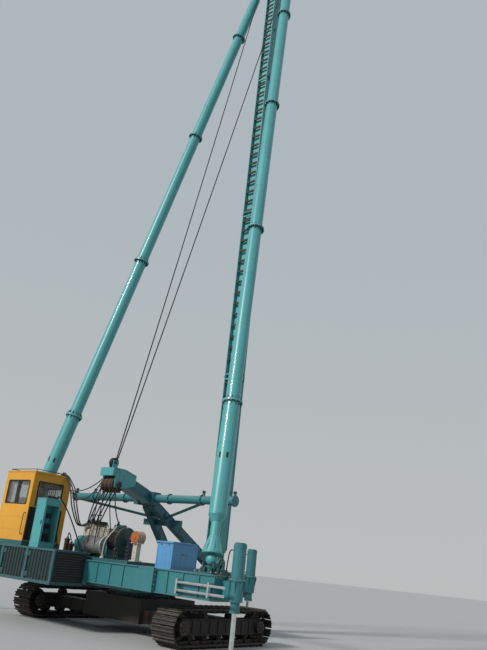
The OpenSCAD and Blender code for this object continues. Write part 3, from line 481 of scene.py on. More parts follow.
class Effects:
    """Node groups for what more than one finish shows: wear, runs, dust, grime and grain."""

    def __init__(self) -> None:
        self.mottle = self._group("Mottle", {"Color": (1, 1, 1, 1), "Scale": 1.0, "Amount": 0.2},
                                  self._mottle, "Color")
        self.wear = self._group("Edge Wear", {"Radius": 0.008, "Break Up": 9.0, "Amount": 0.6}, self._wear,
                                "Mask")
        self.runs = self._group("Runs", {"Scale": 6.0, "Amount": 0.4}, self._runs, "Mask")
        self.dust = self._group("Settled Dust", {"Scale": 5.0, "Amount": 0.5}, self._dust, "Mask")
        self.grime = self._group("Ground Grime", {"Height": 1.0, "Amount": 0.6}, self._grime, "Mask")
        self.bloom = self._group("Rust Bloom", {"Scale": 2.5, "Amount": 0.3}, self._bloom, "Mask", "Color")
        self.grain = self._group("Grain", {"Scale": 60.0}, self._grain, "Height")
        self.tread = self._group("Tread Plate", {"Pitch": 0.06}, self._tread, "Height")

    def _group(self, name: str, inputs: dict, fill: Callable, *outputs: str) -> bpy.types.NodeTree:
        """Makes one group.

        Args:
            name: the group's name.
            inputs: each input's name and default value.
            fill: draws the inside and returns the socket of each output.
            outputs: the outputs' names, of which Color is a colour and the rest are numbers.

        Returns:
            The node group.
        """
        tree = bpy.data.node_groups.new(name, "ShaderNodeTree")
        for key, value in inputs.items():
            kind = "NodeSocketColor" if isinstance(value, tuple) else "NodeSocketFloat"
            tree.interface.new_socket(key, in_out="INPUT", socket_type=kind).default_value = value
        for key in outputs:
            kind = "NodeSocketColor" if key == "Color" else "NodeSocketFloat"
            tree.interface.new_socket(key, in_out="OUTPUT", socket_type=kind)
        graph = Graph(tree)
        given = graph.add("NodeGroupInput")
        made = fill(graph, *(given.outputs[key] for key in inputs))
        graph.add("NodeGroupOutput", dict(zip(outputs, made)))
        return tree

    def _mottle(self, g: Graph, colour: Socket, scale: Socket, amount: Socket) -> tuple[Socket, ...]:
        """Colour that drifts a little in lightness and hue, broad and fine."""
        place = g.place()
        broad = g.noise(place, scale, 3.0)
        fine = g.noise(place, g.mul(scale, 9.0), 6.0, 0.65)
        both = g.plus(g.mul(broad, 0.65), g.mul(fine, 0.35))
        drift = g.mul(g.math("SUBTRACT", both, 0.5), amount)
        ends = {"Hue": g.plus(g.mul(drift, 0.06), 0.5), "Value": g.plus(g.mul(drift, 2.0), 1.0),
                "Color": colour}
        return (g.add("HueSaturation", ends).outputs[0],)

    def _wear(self, g: Graph, radius: Socket, break_up: Socket, amount: Socket) -> tuple[Socket, ...]:
        """Broken line along edges, where paint chips."""
        soft = g.add("Bevel", {"Radius": radius}, samples=4).outputs[0]
        dot = g.add("VectorMath", {0: soft, 1: g.normal()}, operation="DOT_PRODUCT").outputs["Value"]
        edge = g.ramp(g.math("SUBTRACT", 1.0, dot), 0.02, 0.22)
        chips = g.ramp(g.noise(g.place(), break_up, 7.0, 0.7), 0.44, 0.62)
        return (g.math("MULTIPLY!", g.mul(edge, chips), amount),)

    def _runs(self, g: Graph, scale: Socket, amount: Socket) -> tuple[Socket, ...]:
        """Streaks of dirty water down upright faces."""
        streak = g.ramp(g.noise(g.stretched((1.0, 1.0, 0.07)), g.mul(scale, 2.0), 5.0, 0.6), 0.5, 0.78)
        patch = g.ramp(g.noise(g.place(), 0.9, 2.0), 0.35, 0.7)
        upright = g.ramp(g.math("ABSOLUTE", g.axes(g.normal())[2]), 0.75, 0.35)
        return (g.math("MULTIPLY!", g.mul(g.mul(streak, patch), upright), amount),)

    def _dust(self, g: Graph, scale: Socket, amount: Socket) -> tuple[Socket, ...]:
        """Dust that lies on faces that look up."""
        up = g.ramp(g.axes(g.normal())[2], 0.25, 0.95)
        cloud = g.ramp(g.noise(g.place(), scale, 6.0, 0.65), 0.3, 0.68, (0.25, 1.0))
        return (g.math("MULTIPLY!", g.mul(up, cloud), amount),)

    def _grime(self, g: Graph, height: Socket, amount: Socket) -> tuple[Socket, ...]:
        """Mud and oil that thin out with height above the ground."""
        place = g.place()
        share = g.math("SUBTRACT!", 1.0, g.math("DIVIDE", g.axes(place)[2], height))
        cloud = g.ramp(g.noise(place, 3.5, 6.0, 0.68), 0.28, 0.7, (0.2, 1.0))
        return (g.math("MULTIPLY!", g.mul(share, cloud), amount),)

    def _bloom(self, g: Graph, scale: Socket, amount: Socket) -> tuple[Socket, ...]:
        """Patches of rust with their own brown and orange."""
        place = g.place()
        edge = g.math("SUBTRACT", 0.78, g.mul(amount, 0.4))
        mask = g.math("MULTIPLY!", g.math("SUBTRACT", g.noise(place, scale, 9.0, 0.7), edge), 14.0)
        tone = g.ramp(g.noise(place, 22.0, 5.0), 0.3, 0.7)
        return mask, g.mix(tone, (0.11, 0.042, 0.018), (0.31, 0.125, 0.045))

    def _grain(self, g: Graph, scale: Socket) -> tuple[Socket, ...]:
        """Fine unevenness of a sprayed or rolled surface."""
        place = g.place()
        broad = g.noise(place, g.mul(scale, 0.12), 3.0)
        return (g.plus(g.mul(g.noise(place, scale, 4.0, 0.6), 0.35), g.mul(broad, 0.65)),)

    def _tread(self, g: Graph, pitch: Socket) -> tuple[Socket, ...]:
        """Raised crossing lozenges of a tread plate, seen from above."""
        x, y, _ = g.axes(g.place())
        heights = []
        for sign in (1.0, -1.0):
            lines = []
            for p, q, way, rate in ((x, y, sign, 2.2), (y, x, -sign, 4.4)):
                turned = g.mul(g.plus(p, g.mul(q, way)), rate)
                lines.append(g.math("ABSOLUTE", g.math("SINE", g.math("DIVIDE", turned, pitch))))
            heights.append(g.mul(g.ramp(lines[0], 0.45, 0.8), g.ramp(lines[1], 0.86, 0.97)))
        return (g.math("MAXIMUM", *heights),)


def new_material(name: str) -> tuple[bpy.types.Material, Graph, bpy.types.Node]:
    """Makes a material with an empty surface shader.

    Args:
        name: the material's name.

    Returns:
        The material, its graph and its surface shader.
    """
    material = bpy.data.materials.new(name)
    material.use_nodes = True
    material.node_tree.nodes.clear()
    graph = Graph(material.node_tree)
    surface = graph.add("BsdfPrincipled")
    graph.add("OutputMaterial", {"Surface": surface.outputs[0]})
    return material, graph, surface


@dataclass(frozen=True)
class Paint:
    """Sprayed machine paint with its wear, rust, runs and dust."""

    name: str
    colour: Triple
    rough: float = 0.42
    mottle: float = 0.22
    chips: float = 0.55
    rust: float = 0.18
    runs: float = 0.4
    dust: float = 0.45
    grime: float = 0.5
    grime_height: float = 1.1
    tread: bool = False
    coat: float = 0.12

    def build(self, effects: Effects) -> bpy.types.Material:
        """Makes the material from the shared effects."""
        material, g, surface = new_material(self.name)
        base, = g.group(effects.mottle, self.colour, 1.3, self.mottle)
        runs, = g.group(effects.runs, 6.0, self.runs)
        dust, = g.group(effects.dust, 4.0, self.dust)
        grime, = g.group(effects.grime, self.grime_height, self.grime)
        wear, = g.group(effects.wear, 0.01, 11.0, self.chips)
        rust, rust_colour = g.group(effects.bloom, 3.2, self.rust)
        colour = g.mix(runs, base, tuple(0.3 * c + 0.008 for c in self.colour))
        colour = g.mix(dust, colour, (0.36, 0.335, 0.29))
        colour = g.mix(grime, colour, (0.052, 0.045, 0.038))
        worn = g.math("MAXIMUM", wear, g.mul(rust, 0.85))
        colour = g.mix(worn, colour, rust_colour)
        grain, = g.group(effects.grain, 70.0)
        height = g.math("SUBTRACT", g.mul(grain, 0.35), g.mul(worn, 0.5))
        if self.tread:
            plate, = g.group(effects.tread, 0.075)
            height = g.plus(height, g.mul(plate, 1.6))
        dirt = g.math("MAXIMUM", g.math("MAXIMUM", dust, grime), worn)
        g.feed(surface, {
            "Base Color": colour, "Roughness": g.math("ADD!", g.mul(dirt, 0.38), self.rough),
            "Coat Weight": g.mul(g.math("SUBTRACT!", 1.0, dirt), self.coat),
            "Normal": g.bump(height, 0.45, 0.004)})
        return material


@dataclass(frozen=True)
class BareSteel:
    """Bare or plated steel with grease and rust."""

    name: str
    colour: Triple
    rough: float = 0.3
    brushed: float = 0.3
    rust: float = 0.2
    grease: float = 0.4
    metal: float = 1.0

    def build(self, effects: Effects) -> bpy.types.Material:
        """Makes the material from the shared effects."""
        material, g, surface = new_material(self.name)
        base, = g.group(effects.mottle, self.colour, 4.0, 0.25)
        lines = g.noise(g.stretched((90.0, 4.0, 90.0)), 3.0, 3.0)
        rust, rust_colour = g.group(effects.bloom, 6.0, self.rust)
        dust, = g.group(effects.dust, 6.0, 0.4)
        grain, = g.group(effects.grain, 90.0)
        greasy = g.mul(g.ramp(g.noise(g.place(), 7.0, 6.0, 0.7), 0.42, 0.66), self.grease)
        colour = g.mix(dust, g.mix(greasy, base, (0.03, 0.026, 0.022)), (0.33, 0.31, 0.27))
        dull = g.math("MAXIMUM", rust, dust)
        rough = g.math("ADD!", g.plus(g.mul(lines, self.brushed), self.rough), g.mul(dull, 0.45))
        height = g.plus(g.mul(lines, self.brushed), g.mul(grain, dull))
        g.feed(surface, {
            "Base Color": g.mix(rust, colour, rust_colour), "Roughness": rough,
            "Metallic": g.mul(g.math("SUBTRACT!", 1.0, dull), self.metal), "Normal": g.bump(height, 0.35)})
        return material


@dataclass(frozen=True)
class WireRope:
    """Greased steel rope whose strands wind round it, drawn by its UV map."""

    name: str
    colour: Triple = (0.05, 0.048, 0.045)
    strands: int = 6

    def build(self, effects: Effects) -> bpy.types.Material:
        """Makes the material from the shared effects."""
        material, g, surface = new_material(self.name)
        round_it, along, _ = g.axes(g.place("UV"))
        turn = g.plus(g.mul(round_it, float(self.strands)), along)
        wave, wire = (g.math("SINE", g.mul(turn, rate * math.pi)) for rate in (2, 14))
        base, = g.group(effects.mottle, self.colour, 5.0, 0.5)
        rust, rust_colour = g.group(effects.bloom, 4.0, 0.25)
        colour = g.mix(g.ramp(wave, -1.0, 0.2, (0.45, 0.0)), base, (0.012, 0.011, 0.01))
        g.feed(surface, {
            "Base Color": g.mix(g.mul(rust, 0.6), colour, rust_colour), "Metallic": 0.55,
            "Roughness": g.ramp(wave, -1.0, 1.0, (0.75, 0.42)),
            "Normal": g.bump(g.plus(wave, g.mul(wire, 0.2)), 0.8, 0.003)})
        return material


@dataclass(frozen=True)
class HoseRubber:
    """Black rubber hose with dust and cloth marks."""

    name: str
    colour: Triple = (0.018, 0.018, 0.019)

    def build(self, effects: Effects) -> bpy.types.Material:
        """Makes the material from the shared effects."""
        material, g, surface = new_material(self.name)
        base, = g.group(effects.mottle, self.colour, 6.0, 0.6)
        dust, = g.group(effects.dust, 9.0, 0.55)
        grain, = g.group(effects.grain, 120.0)
        round_it, along, _ = g.axes(g.place("UV"))
        wrap = g.math("SINE", g.mul(g.plus(along, round_it), 40.0))
        g.feed(surface, {
            "Base Color": g.mix(dust, base, (0.2, 0.185, 0.16)),
            "Roughness": g.math("ADD!", g.mul(dust, 0.3), 0.48),
            "Normal": g.bump(g.plus(g.mul(wrap, 0.25), grain), 0.3)})
        return material


@dataclass(frozen=True)
class TintedGlass:
    """Cab glass with dust that gathers towards its lower edge."""

    name: str
    colour: Triple = (0.74, 0.78, 0.78)

    def build(self, effects: Effects) -> bpy.types.Material:
        """Makes the material from the shared effects."""
        material, g, surface = new_material(self.name)
        runs, = g.group(effects.runs, 9.0, 0.35)
        grime, = g.group(effects.grime, 3.2, 0.3)
        grain, = g.group(effects.grain, 2.0)
        film = g.math("MAXIMUM", runs, grime)
        g.feed(surface, {
            "Base Color": g.mix(film, self.colour, (0.22, 0.21, 0.18)), "Transmission Weight": 0.9,
            "IOR": 1.45, "Roughness": g.math("ADD!", g.mul(film, 0.3), 0.03), "Normal": g.bump(grain, 0.08)})
        return material


@dataclass(frozen=True)
class Vinyl:
    """Creased seat vinyl with a pebbled grain."""

    name: str
    colour: Triple = (0.022, 0.022, 0.024)

    def build(self, effects: Effects) -> bpy.types.Material:
        """Makes the material from the shared effects."""
        material, g, surface = new_material(self.name)
        place = g.place()
        base, = g.group(effects.mottle, self.colour, 5.0, 0.45)
        cells = g.add("TexVoronoi", {"Vector": place, "Scale": 420.0}).outputs["Distance"]
        creases = g.ramp(g.noise(place, 14.0, 5.0, 0.6), 0.47, 0.53)
        worn = g.mul(g.ramp(g.noise(place, 9.0, 4.0), 0.5, 0.75), 0.4)
        g.feed(surface, {
            "Base Color": g.mix(worn, base, (0.09, 0.085, 0.08)),
            "Roughness": g.math("ADD!", g.mul(worn, 0.4), 0.5),
            "Normal": g.bump(g.plus(g.mul(cells, 0.4), g.mul(creases, 0.6)), 0.35)})
        return material


class Finishes:
    """Every finish of the machine, built once."""

    def __init__(self, effects: Effects) -> None:
        self.effects = effects
        self.teal = self.made(Slot.TEAL, Paint("teal paint", (0.075, 0.345, 0.36), chips=0.45, rust=0.1))
        self.stay_teal = self.made(Slot.TEAL, Paint(
            "stay paint", (0.085, 0.37, 0.385), mottle=0.16, chips=0.3, rust=0.05, runs=0.3, rough=0.36))
        self.mast_teal = self.made(Slot.TEAL, Paint(
            "mast paint", (0.062, 0.3, 0.31), mottle=0.26, chips=0.4, rust=0.12, runs=0.5))
        self.dark_teal = self.made(Slot.DARK_TEAL, Paint(
            "grimy teal paint", (0.022, 0.11, 0.12), rust=0.3, dust=0.55, rough=0.5))
        self.deck = self.made(Slot.DARK_TEAL, Paint(
            "deck paint", (0.03, 0.13, 0.14), rust=0.45, dust=0.8, rough=0.55, tread=True))
        self.rusty_teal = self.made(Slot.TEAL, Paint(
            "rusted teal paint", (0.024, 0.11, 0.12), rust=0.42, chips=0.6, runs=0.7, rough=0.55))
        self.panel = self.made(Slot.DARK_TEAL, Paint(
            "stained panel paint", (0.008, 0.03, 0.034), rust=0.45, chips=0.35, runs=0.6, dust=0.25,
            rough=0.5))
        # Beam paint: the teal darkened as painted shade, for the frame, beams, jack tubes and cross tube.
        self.beam = self.made(Slot.TEAL, Paint(
            "beam paint darkened for painted shade", (0.034, 0.19, 0.212), chips=0.35, rust=0.15, runs=0.55, dust=0.4))
        # Gantry paint: the teal darkened as painted shade on the gantry's legs.
        self.gantry = self.made(Slot.TEAL, Paint(
            "gantry paint", (0.026, 0.13, 0.155), chips=0.35, rust=0.12, dust=0.35))
        # Mast face paint: the mast's teal lightened as painted light on the sunlit back face of the column.
        self.mast_lit_face = self.made(Slot.TEAL, Paint(
            "mast face paint", (0.12, 0.4, 0.39), chips=0.3, rust=0.06, runs=0.3))
        # Near-black paint for painted shade: the panel on the cab's lower right wall and the rung bars with
        # their shadow.
        self.shade_black = self.made(Slot.BLACK, Paint(
            "black paint for painted shade", (0.012, 0.011, 0.011), rust=0.04, chips=0.1, dust=0.2, rough=0.6, coat=0.0))
        self.black = self.made(Slot.BLACK, Paint(
            "black steel", (0.014, 0.014, 0.016), rust=0.2, dust=0.35, rough=0.5, coat=0.0))
        # Track steel: near-black, partly from the steel's own dark tone and partly taken darker as painted
        # shade under the machine.
        self.track = self.made(Slot.BLACK, Paint(
            "track steel", (0.02, 0.018, 0.017), rust=0.45, dust=0.5, grime=0.85, rough=0.62, coat=0.0))
        self.yellow = self.made(Slot.YELLOW, Paint(
            "cab yellow", (0.74, 0.36, 0.03), mottle=0.12, chips=0.35, rust=0.06, runs=0.35, dust=0.25,
            grime=0.2, grime_height=2.4, rough=0.38))
        self.blue = self.made(Slot.BLUE, Paint("chest blue", (0.095, 0.31, 0.57), chips=0.6, rust=0.12,
                                               dust=0.3))
        self.green = self.made(Slot.GREEN, Paint("wheel green", (0.015, 0.07, 0.062), chips=0.6, rust=0.2))
        self.drum_blue = self.made(Slot.BLUE_BLACK, Paint(
            "greasy blue black", (0.01, 0.022, 0.045), chips=0.6, rust=0.15))
        self.motor_teal = self.made(Slot.TEAL, Paint("motor paint", (0.16, 0.5, 0.49), chips=0.35, rust=0.06))
        self.beige = self.made(Slot.BEIGE, Paint(
            "gearbox grey", (0.34, 0.32, 0.26), chips=0.4, rust=0.15, grime=0.3))
        self.pale = self.made(Slot.BEIGE, Paint("post cream", (0.52, 0.5, 0.42), chips=0.5, rust=0.2))
        self.orange = self.made(Slot.ORANGE, Paint("guide orange", (0.42, 0.12, 0.03), chips=0.8, rust=0.45))
        self.brown = self.made(Slot.RUST, Paint(
            "head rust", (0.06, 0.028, 0.016), rust=0.4, chips=0.5, rough=0.7, coat=0.0))
        self.chrome = self.made(Slot.CHROME, BareSteel("rod chrome", (0.8, 0.81, 0.82), 0.12, 0.08, 0.02,
                                                       0.2))
        self.silver = self.made(Slot.DRUM, BareSteel("drum silver", (0.68, 0.69, 0.71), 0.34, 0.25, 0.1, 0.3,
                                                     0.75))
        self.bolt = self.made(Slot.DRUM, BareSteel("bolt steel", (0.3, 0.3, 0.3), 0.45, 0.1, 0.5, 0.4, 0.7))
        self.rope = self.made(Slot.DRUM, WireRope("wire rope"))
        self.wound_rope = self.made(Slot.DRUM, WireRope("wound rope", (0.42, 0.42, 0.41)))
        self.lens = self.made(Slot.GLASS, TintedGlass("lamp glass", (0.8, 0.8, 0.76)))
        self.hose = self.made(Slot.BLACK, HoseRubber("hose rubber"))
        self.glass = self.made(Slot.GLASS, TintedGlass("cab glass"))
        self.vinyl = self.made(Slot.VINYL, Vinyl("seat vinyl"))
        self.gasket = self.made(Slot.BLACK, HoseRubber("window gasket", (0.011, 0.01, 0.01)))

    def made(self, slot: Slot,
             kind: Paint | BareSteel | WireRope | HoseRubber | TintedGlass | Vinyl) -> Finish:
        """A finish built from the shared effects, with its slot."""
        return Finish(kind.build(self.effects), slot)


def sagging(p: Vector, q: Vector, sag: float, count: int = 24, side: Vector | None = None) -> list[Vector]:
    """Points of a line that hangs between two places.

    Args:
        p: one end.
        q: the other end.
        sag: how far its middle hangs below the straight line.
        count: the number of points.
        side: how far its middle is pushed sideways, or None.

    Returns:
        The points from p to q.
    """
    points = []
    for i in range(count):
        t = i / (count - 1)
        dip = 4 * t * (1 - t)
        point = p.lerp(q, t) - Z * sag * dip
        points.append(point + (side * dip if side else Vector()))
    return points


def smooth_path(*corners: Vector | Triple, steps: int = 8) -> list[Vector]:
    """Points of a smooth curve through the given corners.

    Args:
        corners: the points that it passes.
        steps: the number of points between two corners.

    Returns:
        The curve's points.
    """
    corners = [Vector(c) for c in corners]
    out = []
    for i in range(len(corners) - 1):
        a, b = corners[max(i - 1, 0)], corners[i]
        c, d = corners[i + 1], corners[min(i + 2, len(corners) - 1)]
        for t in (k / steps for k in range(steps)):
            out.append(0.5 * (2 * b + (c - a) * t + (2 * a - 5 * b + 4 * c - d) * t * t
                              + (3 * b - a - 3 * c + d) * t * t * t))
    return [*out, corners[-1].copy()]


def rounded_frame(u: Range, v: Range, corner: float, at: Callable[[float, float], Vector]) -> list[Vector]:
    """Closed path of a window's edge with rounded corners.

    Args:
        u: the window's range along its first axis.
        v: its range along its second axis.
        corner: the radius of its corners.
        at: gives the point in space of (u, v).

    Returns:
        The path's points.
    """
    points = []
    for cu, cv, start in ((u[1] - corner, v[1] - corner, 0), (u[0] + corner, v[1] - corner, 90),
                          (u[0] + corner, v[0] + corner, 180), (u[1] - corner, v[0] + corner, 270)):
        for k in range(5):
            a = math.radians(start + 90 * k / 4)
            points.append(at(cu + corner * math.cos(a), cv + corner * math.sin(a)))
    return points


@dataclass
class Stage:
    """Camera, light, sky and floor."""

    eye: Triple = (-11.738, -11.713, 1.65)
    heading: float = 40.0
    pitch: float = 20.0
    roll: float = 6.0
    lens: float = 36.0
    film: float = 36.0
    sky: Triple = (0.42, 0.475, 0.51)
    fill: float = 0.42
    sun: float = 2.5
    sun_from: Triple = (-0.86, 0.22, 0.62)
    floor_size: float = 90.0
    floor_colour: Triple = (0.46, 0.465, 0.46)

    def camera(self) -> None:
        """Puts the camera at the photograph's place, pitch and roll."""
        a, p, w = (math.radians(v) for v in (self.heading, self.pitch, self.roll))
        ahead = vec(math.cos(p) * math.cos(a), math.cos(p) * math.sin(a), math.sin(p))
        level = vec(math.sin(a), -math.cos(a), 0)
        up = level.cross(ahead)
        right = level * math.cos(w) + up * math.sin(w)
        top = up * math.cos(w) - level * math.sin(w)
        data = bpy.data.cameras.new("camera")
        data.lens, data.sensor_width, data.clip_end = self.lens, self.film, 400.0
        camera = bpy.data.objects.new("camera", data)
        turn = Matrix((right, top, -ahead)).transposed().to_4x4()
        camera.matrix_world = Matrix.Translation(self.eye) @ turn
        bpy.context.scene.collection.objects.link(camera)
        bpy.context.scene.camera = camera

    def light(self) -> None:
        """A soft sun from the machine's rear and an even pale sky."""
        data = bpy.data.lights.new("sun", "SUN")
        data.energy, data.angle, data.color = self.sun, math.radians(9), (1.0, 0.975, 0.93)
        lamp = bpy.data.objects.new("sun", data)
        lamp.rotation_mode = "QUATERNION"
        lamp.rotation_quaternion = Vector(self.sun_from).to_track_quat("Z", "Y")
        bpy.context.scene.collection.objects.link(lamp)
        world = bpy.data.worlds.new("sky")
        world.use_nodes = True
        world.node_tree.nodes.clear()
        g = Graph(world.node_tree)
        path = g.add("LightPath").outputs
        seen = g.math("MAXIMUM", path["Is Camera Ray"], path["Is Transmission Ray"])
        seen = g.math("MAXIMUM", seen, path["Is Glossy Ray"])
        height = g.axes(g.place("Generated"))[2]
        shown = g.mix(g.ramp(height, -0.1, 0.6), (0.5, 0.51, 0.51), self.sky)
        even = g.mix(g.ramp(height, -0.4, 0.5), (0.3, 0.3, 0.3), (0.9, 0.97, 1.05))
        soft = g.add("Background", {"Color": even, "Strength": self.fill})
        back = g.add("Background", {"Color": shown, "Strength": 1.0})
        both = g.add("MixShader", {0: seen, 1: soft.outputs[0], 2: back.outputs[0]})
        g.add("OutputWorld", {"Surface": both.outputs[0]})
        bpy.context.scene.world = world

    def floor(self, effects: Effects) -> None:
        """A wide plain pale floor."""
        material, g, surface = new_material("floor")
        base, = g.group(effects.mottle, self.floor_colour, 0.5, 0.06)
        g.feed(surface, {"Base Color": base, "Roughness": 0.85})
        mesh = bpy.data.meshes.new("floor")
        rim = [ray * self.floor_size for ray in rays(48, X, Y)]
        mesh.from_pydata([Vector(), *rim], [], [(0, i + 1, (i + 1) % 48 + 1) for i in range(48)])
        mesh.materials.append(material)
        floor = bpy.data.objects.new("floor", mesh)
        bpy.context.scene.collection.objects.link(floor)

    def build(self, effects: Effects) -> None:
        """Builds the whole stage."""
        self.camera()
        self.light()
        self.floor(effects)
        bpy.context.scene.view_settings.view_transform = "Standard"


@dataclass
class Crawler:
    """Shoes, chains, end wheels and side frames of the two tracks."""

    centre: Triple = (-0.4, 2.3, 0.375)
    loop_r: float = 0.315
    straight: float = 2.45
    shoe_w: float = 0.6
    shoe_t: float = 0.025
    lug_h: float = 0.035
    link_h: float = 0.065
    shoes: int = 40
    frame_half: float = 0.15

    def at_loop(self, s: float) -> tuple[Vector, Vector, Vector]:
        """Place on the links' outer face, s along it from the rear of the ground run.

        Args:
            s: the distance along the loop.

        Returns:
            The point, the way that the track runs and the way outward, all in the plane Y = 0.
        """
        half_turns, s = divmod(s, self.straight + math.pi * self.loop_r)
        way = -1 if half_turns % 2 else 1
        a = max(s - self.straight, 0.0) / self.loop_r - math.pi / 2
        out = vec(math.cos(a), 0, math.sin(a)) * way
        at = X * (min(s, self.straight) - self.straight / 2) * way + out * self.loop_r
        return vec(self.centre[0], 0, self.centre[2]) + at, vec(-out.z, 0, out.x), out

    def track(self, side: Side, finish: Finish) -> None:
        """Builds one track from shoes, bolts, chain links and pins."""
        pitch = 2 * (self.straight + math.pi * self.loop_r) / self.shoes
        mid = side.value * self.centre[1] * Y
        shape, half = Shape(), self.shoe_w / 2
        for i in range(self.shoes):
            at, along, out = self.at_loop((i + 0.5) * pitch)
            at += mid
            axes = (along, Y, along.cross(Y))
            plate = at + out * self.shoe_t / 2
            lug = plate + out * ((self.shoe_t + self.lug_h) / 2 - 0.002)
            shape.slab(plate, (0.46 * pitch, half, self.shoe_t / 2), 0.005, axes)
            shape.slab(lug, (0.011, half - 0.006, self.lug_h / 2 + 0.001), 0.004, axes)
            shape.slab(plate - along * 0.4 * pitch + out * 0.016, (0.009, half - 0.01, 0.012), 0.003, axes)
            shift = 0.018 if i % 2 else -0.018
            for row in near(0, 0.115):
                head = at + out * (self.shoe_t - 0.001) + Y * row
                shape.bolts([head + along * step * pitch for step in near(0, 0.22)], out, 0.013, 0.012)
                link = at - out * self.link_h / 2 + Y * (row + shift)
                shape.slab(link, (0.56 * pitch, 0.017, self.link_h / 2 - 0.001), 0.008, axes)
            joint, _, away = self.at_loop(i * pitch)
            joint += mid - away * self.link_h / 2
            shape.lathe(joint - Y * 0.17, Y, [(0, 0.016), (0.006, 0.02), (0.334, 0.02), (0.34, 0.016)], 10)
        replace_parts(shape.piece(f"crawler_{side.label}", finish), f"track_{side.label}")

    def wheels(self, side: Side, f: Finishes) -> None:
        """Dresses one side frame: hubs, spokes, bolts, roller caps and stiffeners."""
        shape, bolts = Shape(), Shape()
        mid = side.value * self.centre[1]
        for face in BOTH:
            out, y = Y * face, mid + face * self.frame_half
            for end in BOTH:
                centre = vec(self.centre[0] + end * self.straight / 2, mid, self.centre[2])
                hub = centre + out * 0.239
                cap = [(0, 0.125), (0.012, 0.125), (0.014, 0.09), (0.03, 0.085), (0.034, 0.05), (0.04, 0)]
                shape.lathe(hub, out, cap)
                bolts.bolt_circle(hub + out * 0.012, out, 0.107, 8, 0.009, 0.009)
                shape.ring(centre + out * 0.061, out, (0.185, 0.246), (0.0, 0.03), 40)
                shape.spokes(centre + out * 0.072, rays(9), (0.1, 0.2), 0.036, 0.03, out)
            for z in (0.24, 0.51):
                shape.box((-1.35, 0.55), (y, y + face * 0.022), near(z, 0.014))
            for i in range(8):
                shape.box(near(-1.292 + i * 0.26, 0.008), (y, y + face * 0.018), (0.254, 0.496), 0.003)
            for i in range(-2, 3):
                foot = vec(self.centre[0] + i * self.straight / 5.6, mid + face * 0.109, 0.2053)
                roller = [(0, 0.062), (0.014, 0.06), (0.02, 0.04), (0.046, 0.036), (0.05, 0)]
                shape.lathe(foot, out, roller, 20)
                bolts.bolt_circle(foot + out * 0.018, out, 0.05, 6, 0.006, 0.006)
        shape.piece(f"side_frame_detail_{side.label}", f.track)
        bolts.piece(f"side_frame_bolts_{side.label}", f.bolt)

    def cross_boxes(self, f: Finishes) -> None:
        """Dresses the base between the tracks and the turntable's ring."""
        shape, bolts = Shape(), Shape()
        for x, face, y in product((-1.0, 0.2), BOTH, (-1.9, -1.5, -1.1, 1.1, 1.5, 1.9)):
            shape.box((x + face * 0.15, x + face * 0.166), near(y, 0.008), (0.262, 0.488), 0.003)
        middle = vec(self.centre[0], 0, 0.75)
        for out in rays(60, X, Y):
            shape.slab(middle + out * 0.768, (0.014, 0.018, 0.024), 0.005, (out, Z.cross(out), Z))
        bolts.bolts([middle + Z * 0.03 + out * 0.73 for out in rays(20, X, Y)], Z, 0.012, 0.012)
        shape.piece("turntable_teeth", f.black)
        bolts.piece("turntable_bolts", f.bolt)

    def build(self, f: Finishes) -> None:
        """Builds both tracks and the base's details."""
        for side in Side:
            self.track(side, f.track)
            self.wheels(side, f)
        self.cross_boxes(f)


